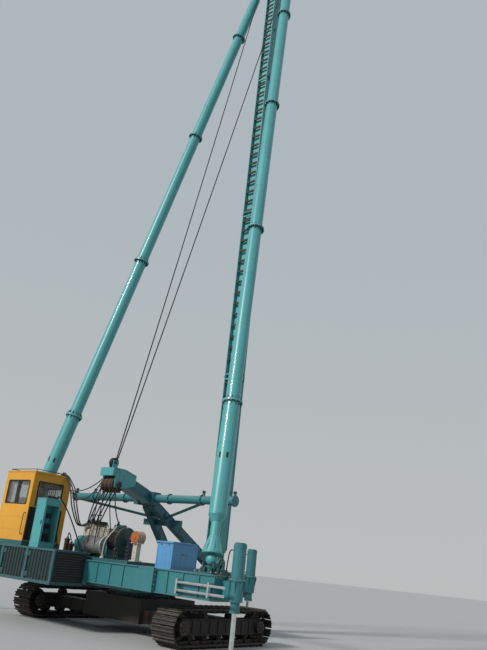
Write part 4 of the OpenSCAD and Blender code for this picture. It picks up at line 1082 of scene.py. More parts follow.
@dataclass
class Platform:
    """Lips, ribs, end plates and bolts of the beams, the girders and the deck."""

    rear_x: Range = (-2.14, -1.56)
    rear_z: Range = (0.95, 1.39)
    rear_half: float = 3.6
    front_x: Range = (1.75, 2.245)
    front_z: Range = (0.85, 1.39)
    front_half: float = 1.12
    girder_x: Range = (-1.56, 1.75)
    girder_z: Range = (0.85, 1.37)
    girder_face: float = 0.875
    joint_y: float = -2.13
    deck_y: float = 0.955
    wing_y: float = 2.4
    wing_x: float = -0.9
    deck_z: Range = (1.33, 1.402)
    lip: float = 0.028

    def lips(self, shape: Shape, x: float, out: int, y: Range, z: Range) -> None:
        """Adds the top and bottom flange edges of a beam's upright face.

        Args:
            shape: takes the edges.
            x: the face's place.
            out: 1 where it faces forward, -1 where it faces back.
            y: the edges' range along the beam.
            z: the beam's height range.
        """
        for top in (z[0] + 0.011, z[1] - 0.011):
            shape.box((x, x + out * self.lip), y, near(top, 0.011))

    def ribs(self, shape: Shape, x: float, out: int, places: Iterable[float], z: Range) -> None:
        """Adds upright stiffeners between a beam face's two edges."""
        for y in places:
            shape.box((x, x + out * 0.022), near(y, 0.007), (z[0] + 0.02, z[1] - 0.02), 0.003)

    def rear_beam(self, f: Finishes) -> None:
        """Dresses the long rear beam on its back, its front and its ends."""
        shape, bolts = Shape(), Shape()
        (back, front), half, joint, z = self.rear_x, self.rear_half, self.joint_y, self.rear_z
        for y in ((-half, joint - 0.001), (2.79, half), (joint + 0.53, -0.01)):
            self.lips(shape, back, -1, y, z)
        self.ribs(shape, back, -1, (-3.25, -2.85, -2.45, -1.2, -0.8, -0.4), z)
        for y in ((-half, -0.965), (0.965, half)):
            self.lips(shape, front, 1, y, z)
        self.ribs(shape, front, 1, (-3.3, -2.8, -2.3, -1.8, -1.3, 1.3, 1.8, 2.3, 2.8, 3.3), z)
        shape.box((back - 0.095, back - 0.061), (joint - 0.006, joint + 0.041), (0.952, 0.985))
        for way in BOTH:
            column = every(back - 0.045, joint + 0.017 + way * 0.018, (1.0, 1.09, 1.18, 1.27, 1.35))
            bolts.bolts(column, Y * way, 0.013, 0.014)
            y = way * half
            shape.box((back - 0.012, front + 0.012), (y, y + way * 0.018), z)
            corners = every((back + 0.03, back + 0.13, front - 0.13, front - 0.03), y + way * 0.018,
                            (0.985, 1.355))
            bolts.bolts(corners, Y * way, 0.013, 0.013)
        # Beam paint: teal darkened as painted shade.
        shape.piece("rear_beam_edges", f.beam)
        bolts.piece("rear_beam_bolts", f.bolt)

    def front_beam(self, f: Finishes) -> None:
        """Dresses the front beam round the mast's foot."""
        shape, bolts = Shape(), Shape()
        back, front = self.front_x
        self.lips(shape, front, 1, near(0, self.front_half), self.front_z)
        self.ribs(shape, front, 1, (-0.95, -0.45, 0.0, 0.45, 0.95), self.front_z)
        for way in BOTH:
            self.lips(shape, back, -1, (way * 0.96, way * self.front_half), self.front_z)
            bolts.bolts(every((back + 0.16, front - 0.03), (way * 0.24, way * 0.31), 1.42), Z, 0.016, 0.016)
            bolts.bolts(every(front + self.lip * 0.5, way * 0.82, (0.95, 1.3)), X, 0.014, 0.014)
        # Beam paint: teal darkened as painted shade.
        shape.piece("front_beam_edges", f.beam)
        bolts.piece("front_beam_bolts", f.bolt)

    def girders(self, f: Finishes) -> None:
        """Dresses the long girders' outer faces and the deck's edge."""
        shape, deck = Shape(), Shape()
        (start, end), (low, high), wing = self.girder_x, self.girder_z, self.wing_x
        for way in BOTH:
            y, inner, outer = (way * v for v in (self.girder_face, self.deck_y, self.wing_y))
            for z in (low + 0.012, high - 0.012):
                shape.box((start + 0.01, end - 0.01), (y, y + way * 0.05), near(z, 0.012))
            for i in range(8):
                shape.box(near(start + 0.25 + i * 0.4, 0.008), (y, y + way * 0.045),
                          (low + 0.024, high - 0.024), 0.003)
            for x, depth in (((wing, end), (inner, inner + way * 0.014)),
                             ((wing, wing + 0.012), (inner, outer)),
                             ((start + 0.002, wing), (outer, outer + way * 0.012))):
                deck.box(x, depth, self.deck_z)
        # Beam paint: teal darkened as painted shade.
        shape.piece("girder_edges", f.beam)
        deck.piece("deck_edges", f.dark_teal)

    def mast_foot(self, f: Finishes) -> None:
        """Adds the pin's end plates and their bolts at the mast's foot."""
        shape, bolts = Shape(), Shape()
        for way in BOTH:
            at, out = vec(2.1, way * 0.2349, 1.56), Y * way
            shape.lathe(at, out, [(0, 0.09), (0.014, 0.09), (0.018, 0.07), (0.022, 0)], 30)
            bolts.bolt_circle(at + out * 0.014, out, 0.072, 6, 0.01, 0.01)
        shape.piece("foot_pin_caps", f.dark_teal)
        bolts.piece("foot_pin_bolts", f.bolt)

    def build(self, f: Finishes) -> None:
        """Builds every detail of the platform."""
        self.rear_beam(f)
        self.front_beam(f)
        self.girders(f)
        self.mast_foot(f)


@dataclass
class RearDeck:
    """Ribbed panels, post plates and louvres round the deck behind the rear beam."""

    x: Range = (-3.0, -2.14)
    width: float = 2.75
    z: Range = (0.85, 1.53)
    recess: float = 0.04
    posts: tuple[float, ...] = (0.0, 0.9167, 1.8333, 2.69)
    post_w: float = 0.06
    rib: float = 0.05

    def panels(self, f: Finishes) -> None:
        """Adds folded sheet between the posts of the back face."""
        shape = Shape()
        face = self.x[0] + self.recess
        low, high = self.z[0] + 0.062, self.z[1] - 0.042
        for a, b in zip(self.posts, self.posts[1:]):
            left, right = a + self.post_w + 0.003, b - 0.003
            count = int((right - left) / (2 * self.rib))
            step = (right - left) / (2 * count)
            folds = product(range(count), ((0.15, 0.004), (0.35, 0.024), (1.05, 0.024), (1.25, 0.004)))
            sheet = [vec(face - depth, left + (2 * i + dy) * step, low) for i, (dy, depth) in folds]
            shape.prism([vec(face, left, low), *sheet, vec(face, right, low)], Z * (high - low))
        shape.piece("rear_deck_panels", f.panel)

    def posts_and_edges(self, f: Finishes) -> None:
        """Adds plates, gussets and rails on the posts and along the deck's edge."""
        shape, bolts = Shape(), Shape()
        back, (low, high), width = self.x[0], self.z, self.width
        for y, z in product(self.posts, (low + 0.14, high - 0.13)):
            mid, half = y + self.post_w / 2, 0.085 if 0.1 < y < 2.6 else 0.029
            shape.box((back + 0.012, back + 0.03), near(mid, half), near(z, 0.05))
            bolts.bolts([vec(back + 0.0125, mid, z)], -X, 0.012, 0.004)
        for z in (low + 0.03, high - 0.02):
            shape.box((back + 0.002, back + 0.012), (0.03, width - 0.03), near(z, 0.012), 0.002)
        for x in (-2.8, -2.45):
            shape.box(near(x, 0.02), (width - 0.04, width - 0.002), (low + 0.06, high - 0.04))
        shape.piece("rear_deck_posts", f.rusty_teal)
        bolts.piece("rear_deck_bolts", f.bolt)

    def louvres(self, f: Finishes) -> None:
        """Adds the black louvred panel on the deck's inner end, a face in shade; its black is painted shade.
        """
        shape = Shape()
        low, high = self.z[0] + 0.065, self.z[1] - 0.045
        shape.box((self.x[0] + 0.042, self.x[1] - 0.03), (0.014, 0.031), (low, high), 0.003)
        for i in range(11):
            shape.slab(vec(sum(self.x) / 2, 0.012, low + 0.035 + i * 0.048), (0.34, 0.012, 0.003), 0.001,
                       SLAT)
        shape.piece("rear_deck_louvres_painted_shade", f.black)

    def build(self, f: Finishes) -> None:
        """Builds every detail of the rear deck."""
        self.panels(f)
        self.posts_and_edges(f)
        self.louvres(f)


@dataclass
class GroundJack:
    """Flange, cap, gland, ports and hoses of one jack, and its pad's gussets."""

    name: str
    place: tuple[float, float]
    tube_r: float = 0.085
    rod_r: float = 0.045
    head_z: Range = (1.33, 1.97)
    tube_z: Range = (0.8, 1.99)
    collar_r: float = 0.13
    collar_z: Range = (0.98, 1.33)

    def at(self, z: float) -> Vector:
        """The point on the jack's axis at a height."""
        return vec(*self.place, z)

    def tube(self, f: Finishes) -> None:
        """Adds the fixed details on the tube and its collar."""
        shape, bolts, hoses = Shape(), Shape(), Shape()
        inward = -Y if self.place[1] > 0 else Y
        (low, high), (mouth, top), (foot, flange) = self.head_z, self.tube_z, self.collar_z
        skin = self.collar_r - 0.002
        shape.lathe(self.at(low - 0.001), Z, [(0, 0.15), (0.022, 0.15), (0.024, 0.125), (0.03, 0.12)], 32)
        bolts.bolt_circle(self.at(low + 0.022), Z, 0.136, 10, 0.009, 0.01)
        shape.ring(self.at(high - 0.07), Z, (0.119, 0.126), (0.0, 0.03))
        shape.lathe(self.at(top - 0.018), Z, [(0, 0.1), (0.012, 0.1), (0.017, 0.06)])
        bolts.bolt_circle(self.at(top - 0.006), Z, 0.085, 8, 0.008, 0.004)
        shape.ring(self.at(mouth), Z, (self.rod_r + 0.003, self.tube_r + 0.012), (-0.006, 0.04))
        gusset = ((flange, skin), (flange, 0.165), (flange - 0.03, 0.165), (foot + 0.12, skin))
        for out in rays(8, X, Y, TAU / 16):
            shape.prism([self.at(z) + out * r for z, r in gusset], Z.cross(out) * 0.012)
        for z in (low + 0.1, high - 0.12):
            start = self.at(z) + inward * 0.139
            shape.slab(start - inward * 0.022, (0.026, 0.024, 0.022))
            run = ((0, 0, z), (0, 0.07, z), (0.02, 0.13, z - 0.09), (0.03, 0.17, 1.46), (0.03, 0.22, 1.403),
                   (0.05, 0.45, 1.402))
            bends = (vec(start.x + dx, start.y + inward.y * dy, height) for dx, dy, height in run)
            hoses.tube(smooth_path(*bends, steps=7), 0.011)
            bolts.lathe(start - inward * 0.004, inward, [(0, 0.016), (0.024, 0.016)], 6)
        # Beam paint: teal darkened as painted shade.
        shape.piece(f"jack_{self.name}_fittings", f.beam)
        bolts.piece(f"jack_{self.name}_bolts", f.bolt)
        hoses.piece(f"jack_{self.name}_hoses", f.hose)

    def pad(self, f: Finishes) -> None:
        """Adds the pad's rim, gussets and bolts, which ride on the rod."""
        shape, bolts, body = Shape(), Shape(), f"jack_{self.name}"
        shape.ring(self.at(0.06), Z, (0.2, 0.226), (-0.002, 0.012))
        for out in rays(6, X, Y):
            side = Z.cross(out) * 0.012
            gusset = ((0.06, 0.1), (0.06, 0.205), (0.075, 0.205), (0.128, 0.064))
            shape.prism([self.at(z) + out * r - side / 2 for z, r in gusset], side)
        bolts.bolt_circle(self.at(0.06), Z, 0.15, 6, 0.012, 0.012)
        shape.piece(f"pad_{self.name}", f.track, body, Slot.CHROME)
        bolts.piece(f"pad_{self.name}_bolts", f.bolt, body)

    def build(self, f: Finishes) -> None:
        """Builds the jack's fixed and moving details."""
        self.tube(f)
        self.pad(f)


@dataclass
class Stay:
    """Flange plates, bolts, seams, fins and slots of one raking stay."""

    side: Side
    foot_at: Triple = (-1.75, 3.15, 1.65)
    head_at: Triple = (2.0, 0.62, 21.9)
    rings: tuple[float, ...] = (0.16, 0.40, 0.636, 0.86)
    low_r: float = 0.18
    tube_r: float = 0.1625
    ring_r: float = 0.225
    ring_t: float = 0.05
    first_seam: float = 0.86
    seam_step: float = 1.48
    slot_s: float = 2.05
    plate_z: float = 1.42

    def end(self, at: Triple) -> Vector:
        """One end's place on the stay's own side."""
        return vec(at[0], self.side.value * at[1], at[2])

    def build(self, f: Finishes) -> None:
        """Builds the stay's details, which ride on it."""
        body = f"stay_{self.side.label}"
        foot, head = self.end(self.foot_at), self.end(self.head_at)
        axis, length = (head - foot).normalized(), (head - foot).length
        u = axis.cross(Y).normalized()
        v = axis.cross(u)
        flanges, seams, bolts, dark = Shape(), Shape(), Shape(), Shape()
        joints = [share * length for share in self.rings]
        for s, way in product(joints, BOTH):
            r = self.low_r if way < 0 and s == joints[0] else self.tube_r
            out, face, rim = axis * way, foot + axis * (s + way * self.ring_t / 2), self.ring_r - 0.02
            # The flange rings and fins take the dark teal: partly grime at the joints, partly painted shade
            # for the dark line each joint shows.
            flanges.ring(face, out, (r, self.ring_r - 0.004), (-0.002, 0.006), 40)
            bolts.bolt_circle(face + out * 0.006, out, 0.203, 12, 0.012, 0.012)
            for ray in rays(12, u, v):
                fin = ((0.004, r - 0.003), (0.004, rim), (0.019, rim), (0.104, r - 0.003))
                flanges.prism([face + out * h + ray * reach for h, reach in fin], axis.cross(ray) * 0.009)
        s = self.first_seam
        while s < length - 1.0:
            if min(abs(s - joint) for joint in joints) > 0.3:
                r = self.low_r if s < joints[0] else self.tube_r
                seams.ring(foot + axis * s, axis, (r - 0.002, r + 0.0025), (-0.005, 0.005), 40)
            s += self.seam_step
        for ray in rays(8, u, v):
            fin = ((0.128, 0.05), (0.128, 0.198), (0.22, 0.184), (0.45, 0.09))
            seams.prism([foot + axis * h + ray * r for h, r in fin], axis.cross(ray) * 0.012)
        # Thin black plates mark two slots near the foot; their black paints the shade inside the openings.
        back = -u if u.x > 0 else u
        for way in (back, back.normalized() - Y * 1.3):
            out = (way - axis * way.dot(axis)).normalized()
            across = axis.cross(out)
            at = foot + axis * self.slot_s + out * (self.low_r - 0.0005)
            dark.slab(at, (0.022, 0.06, 0.002), 0.0005, (across, axis, across.cross(axis)))
        for out in (-Y, Y):
            dark.lathe(head + out * 0.0395, out, [(0, 0.085), (0.004, 0.085), (0.006, 0.06)])
        # Dark teal flanges: grime and painted shade.
        flanges.piece(f"{body}_flanges", f.dark_teal, body, Slot.TEAL)
        seams.piece(f"{body}_seams", f.stay_teal, body)
        bolts.piece(f"{body}_bolts", f.bolt, body)
        dark.piece(f"{body}_slots", f.black, body)
        self.socket(foot, f)

    def socket(self, foot: Vector, f: Finishes) -> None:
        """Adds the bolts and the edge of the foot's base plate."""
        shape, bolts = Shape(), Shape()
        at = vec(foot.x, foot.y, self.plate_z)
        bolts.bolts([at + d for d in every((-0.21, -0.07, 0.07, 0.21), near(0, 0.2), 0)], Z, 0.016, 0.016)
        shape.ring(at, Z, (0.118, 0.134), (-0.001, 0.014), 40)
        shape.piece(f"stay_socket_{self.side.label}_edge", f.dark_teal)
        bolts.piece(f"stay_socket_{self.side.label}_bolts", f.bolt)


@dataclass
class Mast:
    """Joint bolts, weld seams, black rung bars that also paint each rung's shadow, and small fittings of the
    box column.
    """

    x: Range = (1.955, 2.245)
    back: float = 1.845
    half: float = 0.185
    foot_z: float = 1.86
    top_z: float = 27.8
    section: float = 5.3
    pitch: float = 0.35
    rungs: int = 73
    clamps: int = 24
    marks: int = 34
    rail_x: float = 2.29
    rail_y: float = 0.15

    def joint_fittings(self, f: Finishes) -> None:
        """Adds bolts, gussets and seams at each joint of two sections."""
        bolts, plates = Shape(), Shape()
        (low, high), back, half = self.x, self.back, self.half
        for i in range(1, 5):
            z = self.top_z - i * self.section
            for way in BOTH:
                row = every((low + 0.05, low + 0.105, high - 0.105, high - 0.05), near(0, 0.208),
                            z + way * 0.03)
                bolts.bolts(row, Z * way, 0.014, 0.016)
                bolts.bolts(every(back + 0.05, near(0, half + 0.015), z + way * 0.022), Z * way, 0.011, 0.012)
                plates.box((back + 0.004, back + 0.1), (way * half, way * (half + 0.03)), near(z, 0.022))
            plates.box((high, high + 0.011), (-0.13, 0.13), near(z, 0.075))
            bolts.bolts(every(high + 0.011, (-0.1, -0.035, 0.035, 0.1), near(z, 0.045)), X, 0.011, 0.006)
        plates.piece("mast_joint_plates", f.dark_teal, "mast")
        bolts.piece("mast_joint_bolts", f.bolt, "mast")

    def rung_shadow_bars(self, f: Finishes) -> None:
        """Adds a black bar on each rung, taller than the rung, so that its black is partly the rung and
        partly painted shadow beneath it.
        """
        shape = Shape()
        for i in range(1, self.rungs + 1):
            z = self.foot_z + i * self.pitch
            shape.box((self.back + 0.011, self.back + 0.049), (-0.159, 0.159), near(z, 0.034))
        shape.piece("rung_bars_with_painted_shadow", f.shade_black, "mast")

    def sides(self, f: Finishes) -> None:
        """Adds seams, cable clips and marks of old brackets on the sides."""
        seams, marks, bolts = Shape(), Shape(), Shape()
        rng = random.Random(SEED)
        low, high = self.x
        for way in BOTH:
            y = way * self.half
            for x in (low + 0.008, high - 0.008):
                seams.box(near(x, 0.004), (y, y + way * 0.004), (self.foot_z + 0.02, self.top_z - 0.02),
                          0.0015)
            for z in (3.4, 4.9, 8.4, 10.1, 13.9, 15.6, 19.3, 24.3, 26.1):
                seams.slab(vec(low + 0.07, y + way * 0.012, z), (0.03, 0.012, 0.045))
                bolts.bolts(every(low + 0.07, y + way * 0.024, near(z, 0.02)), Y * way, 0.009, 0.008)
            for _ in range(self.marks):
                z, x = rng.uniform(2.4, 27.2), rng.uniform(low + 0.03, high - 0.04)
                size = (rng.uniform(0.008, 0.02), 0.0022, rng.uniform(0.008, 0.03))
                marks.slab(vec(x, y + way * 0.0022, z), size, 0.0015)
            for z in (self.foot_z + 0.012, self.top_z - 0.012):
                seams.box((low + 0.01, high - 0.01), (y, y + way * 0.006), near(z, 0.01), 0.002)
        seams.piece("mast_seams", f.mast_teal, "mast")
        marks.piece("mast_marks", f.brown, "mast")
        bolts.piece("mast_side_bolts", f.bolt, "mast")

    def rails(self, f: Finishes) -> None:
        """Adds the clamps that hold the guide tubes."""
        shape = Shape()
        step = (self.top_z - self.foot_z - 1.4) / (self.clamps - 1)
        for i, y in product(range(self.clamps), near(0, self.rail_y)):
            z = self.foot_z + 0.5 + i * step
            shape.box((self.x[1] - 0.001, self.rail_x - 0.006), near(y, 0.045), near(z, 0.009), 0.003)
        shape.piece("rail_clamps", f.mast_teal, "mast")

    def foot(self, f: Finishes) -> None:
        """Adds stiffeners on the mast's foot."""
        shape = Shape()
        for way in BOTH:
            for x in (2.03, 2.1, 2.17):
                shape.box(near(x, 0.008), (way * 0.16, way * 0.182), (1.72, 1.855), 0.003)
            shape.box((1.95, 2.25), (way * 0.158, way * 0.186), (1.84, 1.862))
        shape.piece("mast_foot_ribs", f.mast_teal, "mast")

    def build(self, f: Finishes) -> None:
        """Builds every detail of the mast."""
        self.joint_fittings(f)
        self.rung_shadow_bars(f)
        self.sides(f)
        self.rails(f)
        self.foot(f)


@dataclass
class Crossarm:
    """Bolts, gussets and pin caps where the stays meet the mast."""

    x: float = 2.0
    z: float = 21.9
    inner: float = 0.555
    outer: float = 0.685

    def build(self, f: Finishes) -> None:
        """Builds the details on both sides."""
        shape, bolts = Shape(), Shape()
        for way in BOTH:
            rows = tuple(self.z + dz for dz in (-0.3, -0.2, 0.2, 0.3))
            bolts.bolts(every((1.99, 2.1, 2.21), way * 0.21, rows), Y * way, 0.018, 0.018)
            for y, out in ((self.outer + 0.04, Y * way), (self.inner - 0.03, -Y * way)):
                at = vec(self.x, way * y, self.z)
                cap = [(0, 0.1), (0.012, 0.1), (0.015, 0.075), (0.03, 0.07), (0.033, 0)]
                shape.lathe(at - out * 0.001, out, cap)
                bolts.bolt_circle(at + out * 0.012, out, 0.087, 6, 0.008, 0.008)
            for top in BOTH:
                z = self.z + top * 0.11
                shape.box((1.965, 2.195), (way * 0.205, way * 0.72), (z, z + top * 0.014))
            for y, x in product((0.3, 0.41, 0.52), ((1.96, 1.946), (2.2, 2.214))):
                shape.box(x, near(way * y, 0.008), near(self.z, 0.1), 0.003)
        shape.piece("crossarm_plates", f.black, "mast")
        bolts.piece("crossarm_bolts", f.bolt, "mast")


@dataclass
class Crown:
    """Sheave caps, bolts, rope keepers and stiffeners on top of the mast."""

    rear: Range = (1.37, 27.94)
    front: Range = (2.87, 27.94)
    keeper_r: float = 0.146
    cheek: float = 0.07
    z: Range = (27.84, 28.04)

    def build(self, f: Finishes) -> None:
        """Builds the crown's details and the sheaves' moving ones."""
        shape, bolts = Shape(), Shape()
        for name, (x, z), angle in (("crown_sheave_rear", self.rear, 110),
                                    ("crown_sheave_front", self.front, 70)):
            axle, wheel = vec(x, 0, z), Shape()
            for out in (-Y, Y):
                cap, web = axle + out * self.cheek, axle + out * 0.0448
                shape.lathe(cap, out, [(0, 0.062), (0.014, 0.062), (0.017, 0.045)], 24)
                bolts.bolt_circle(cap + out * 0.014, out, 0.052, 5, 0.006, 0.006)
                wheel.spokes(web, rays(6), (0.04, 0.105), 0.018, 0.008)
                wheel.ring(web, out, (0.032, 0.048), (-0.001, 0.0045), 24)
            keeper = axle + aimed(angle)[0] * self.keeper_r
            shape.tube([keeper - Y * 0.069, keeper + Y * 0.069], 0.008)
            wheel.piece(f"{name}_spokes", f.track, name)
        for way in BOTH:
            for x in (1.45, 1.62, 1.78, 2.42, 2.58, 2.74):
                shape.box(near(x, 0.006), (way * 0.07, way * 0.088), (self.z[0] + 0.01, self.z[1] - 0.01),
                          0.003)
            bolts.bolts(every((1.71, 1.85, 2.36, 2.49), way * self.cheek, (27.9, 27.98)), Y * way, 0.01, 0.01)
        bolts.bolts(every((1.92, 1.98, 2.22, 2.28), near(0, 0.185), self.z[0]), Z, 0.012, 0.014)
        shape.piece("crown_plates", f.teal, "mast")
        bolts.piece("crown_bolts", f.bolt, "mast")


@dataclass
class Gantry:
    """Pin caps, bolts, seams and guards of the raising gantry and its cross tube."""

    low: Triple = (1.2, 0.7, 1.43)
    high: Triple = (-0.7, 0.05, 2.87)
    head: Triple = (-1.85, 0.0, 3.28)
    axle: Triple = (-1.79, 0.0, 3.01)
    top_axle: Triple = (-1.84, 0.0, 3.495)
    sheave_r: float = 0.17
    cheek_y: float = 0.22
    tube_at: Range = (-0.65, 2.86)
    tube_half: float = 2.7
    leg_t: float = 0.18
    leg_w: float = 0.14

    def legs(self, f: Finishes) -> None:
        """Adds flange strips, splice plates and foot bolts on the legs."""
        shape, bolts = Shape(), Shape()
        for side in Side:
            low, high = (vec(x, side.value * y, z) for x, y, z in (self.low, self.high))
            axis = (high - low).normalized()
            across = axis.cross(Y).normalized()
            flat = across.cross(axis)
            for way in BOTH:
                rim = across * way * (self.leg_t / 2 + 0.004)
                shape.bar(low + axis * 0.13 + rim, low.lerp(high, 0.9) + rim, self.leg_w + 0.024, 0.014,
                          across)
                for share in (0.3, 0.5):
                    at = low.lerp(high, share) + flat * way * (self.leg_w / 2 + 0.005)
                    shape.slab(at, (0.11, 0.07, 0.006), 0.003, (axis, across, flat))
                    at += flat * way * 0.006
                    spots = product((-0.08, -0.03, 0.03, 0.08), near(0, 0.04))
                    bolts.bolts([at + axis * a + across * c for a, c in spots], flat * way, 0.01, 0.01)
            bolts.bolts(every((low.x - 0.11, low.x + 0.21), near(low.y, 0.12), low.z), Z, 0.016, 0.016)
            toe = ((0.23, 1.43), (0.06, 1.43), (0.02, 1.6))
            shape.prism([vec(low.x + dx, low.y - 0.008, z) for dx, z in toe], Y * 0.016)
        # The leg plates take the gantry paint, teal darkened as painted shade.
        shape.piece("gantry_leg_plates", f.gantry)
        bolts.piece("gantry_bolts", f.bolt)

    def head_fittings(self, f: Finishes) -> None:
        """Adds caps, keepers, stiffeners and rims on the head and its sheaves."""
        shape, bolts, dark, wheel, rim = Shape(), Shape(), Shape(), Shape(), Shape()
        head, axle, top = Vector(self.head), Vector(self.axle), Vector(self.top_axle)
        guards = aimed(200, 250, 300, 340)
        for way in BOTH:
            out = Y * way
            cap = axle + out * (self.cheek_y + 0.02)
            dark.lathe(cap, out, [(0, 0.075), (0.014, 0.075), (0.017, 0.05), (0.024, 0)])
            bolts.bolt_circle(cap + out * 0.014, out, 0.063, 6, 0.007, 0.007)
            spots = ((-0.12, 0.06), (-0.12, -0.06), (0.17, 0.06), (0.17, -0.06), (0.02, 0.06))
            bolts.bolts([head + vec(dx, way * self.cheek_y, dz) for dx, dz in spots], out, 0.011, 0.01)
            for rear, front in ((0.078, -0.01), (-0.33, -0.222)):
                shape.bar(head + vec(0.2, way * 0.226, rear), head + vec(0.55, way * 0.226, front), 0.012,
                          0.022)
            dark.lathe(top + out * 0.066, out, [(0, 0.034), (0.01, 0.034), (0.012, 0.022)], 18)
            dark.spokes(axle + out * 0.204, guards, (0.06, self.sheave_r + 0.024), 0.03, 0.01)
            for y in (-0.126, 0, 0.126):
                face = axle + Y * y + out * 0.062
                wheel.ring(face, out, (0.14, 0.169), (-0.003, 0.0016), 48)
                wheel.ring(face, out, (0.046, 0.075), (-0.001, 0.0018), 32)
            wheel.spokes(axle + out * 0.1895, rays(8), (0.07, 0.145), 0.02, 0.004)
            rim.ring(top + out * 0.0398, out, (0.022, 0.05), (-0.001, 0.003), 24)
        for at in (axle + ray * (self.sheave_r + 0.016) for ray in guards):
            dark.tube([at - Y * 0.21, at + Y * 0.21], 0.008)
        shape.piece("gantry_head_edges", f.teal)
        dark.piece("gantry_head_guards", f.black)
        bolts.piece("gantry_head_bolts", f.bolt)
        wheel.piece("head_sheave_rims", f.brown, "head_sheaves")
        rim.piece("top_sheave_hub", f.track, "top_sheave")

    def tube(self, f: Finishes) -> None:
        """Adds bolts on the cross tube's rings, its end caps and the dark prong tips."""
        shape, bolts, dark = Shape(), Shape(), Shape()
        x, z = self.tube_at
        for way, prong in ((-1, 1.75), (1, 1.9)):
            end = vec(x, way * self.tube_half, z)
            shape.lathe(end, Y * way, [(-0.002, 0.088), (0.004, 0.084), (0.008, 0.05), (0.009, 0)])
            for y, face in product((0.75, self.tube_half - 0.02, prong), BOTH):
                bolts.bolt_circle(vec(x, way * y + face * 0.0195, z), Y * face, 0.105, 8, 0.008, 0.009)
            for y in (prong + 0.03, 2.67):
                dark.lathe(vec(x - 0.028, way * y, z + 0.175), X, [(0, 0.03), (0.056, 0.03)], 18)
        # Beam paint: teal darkened as painted shade.
        shape.piece("cross_tube_caps", f.beam)
        bolts.piece("cross_tube_bolts", f.bolt)
        dark.piece("cross_tube_tips", f.black)

    def build(self, f: Finishes) -> None:
        """Builds every detail of the gantry."""
        self.legs(f)
        self.head_fittings(f)
        self.tube(f)


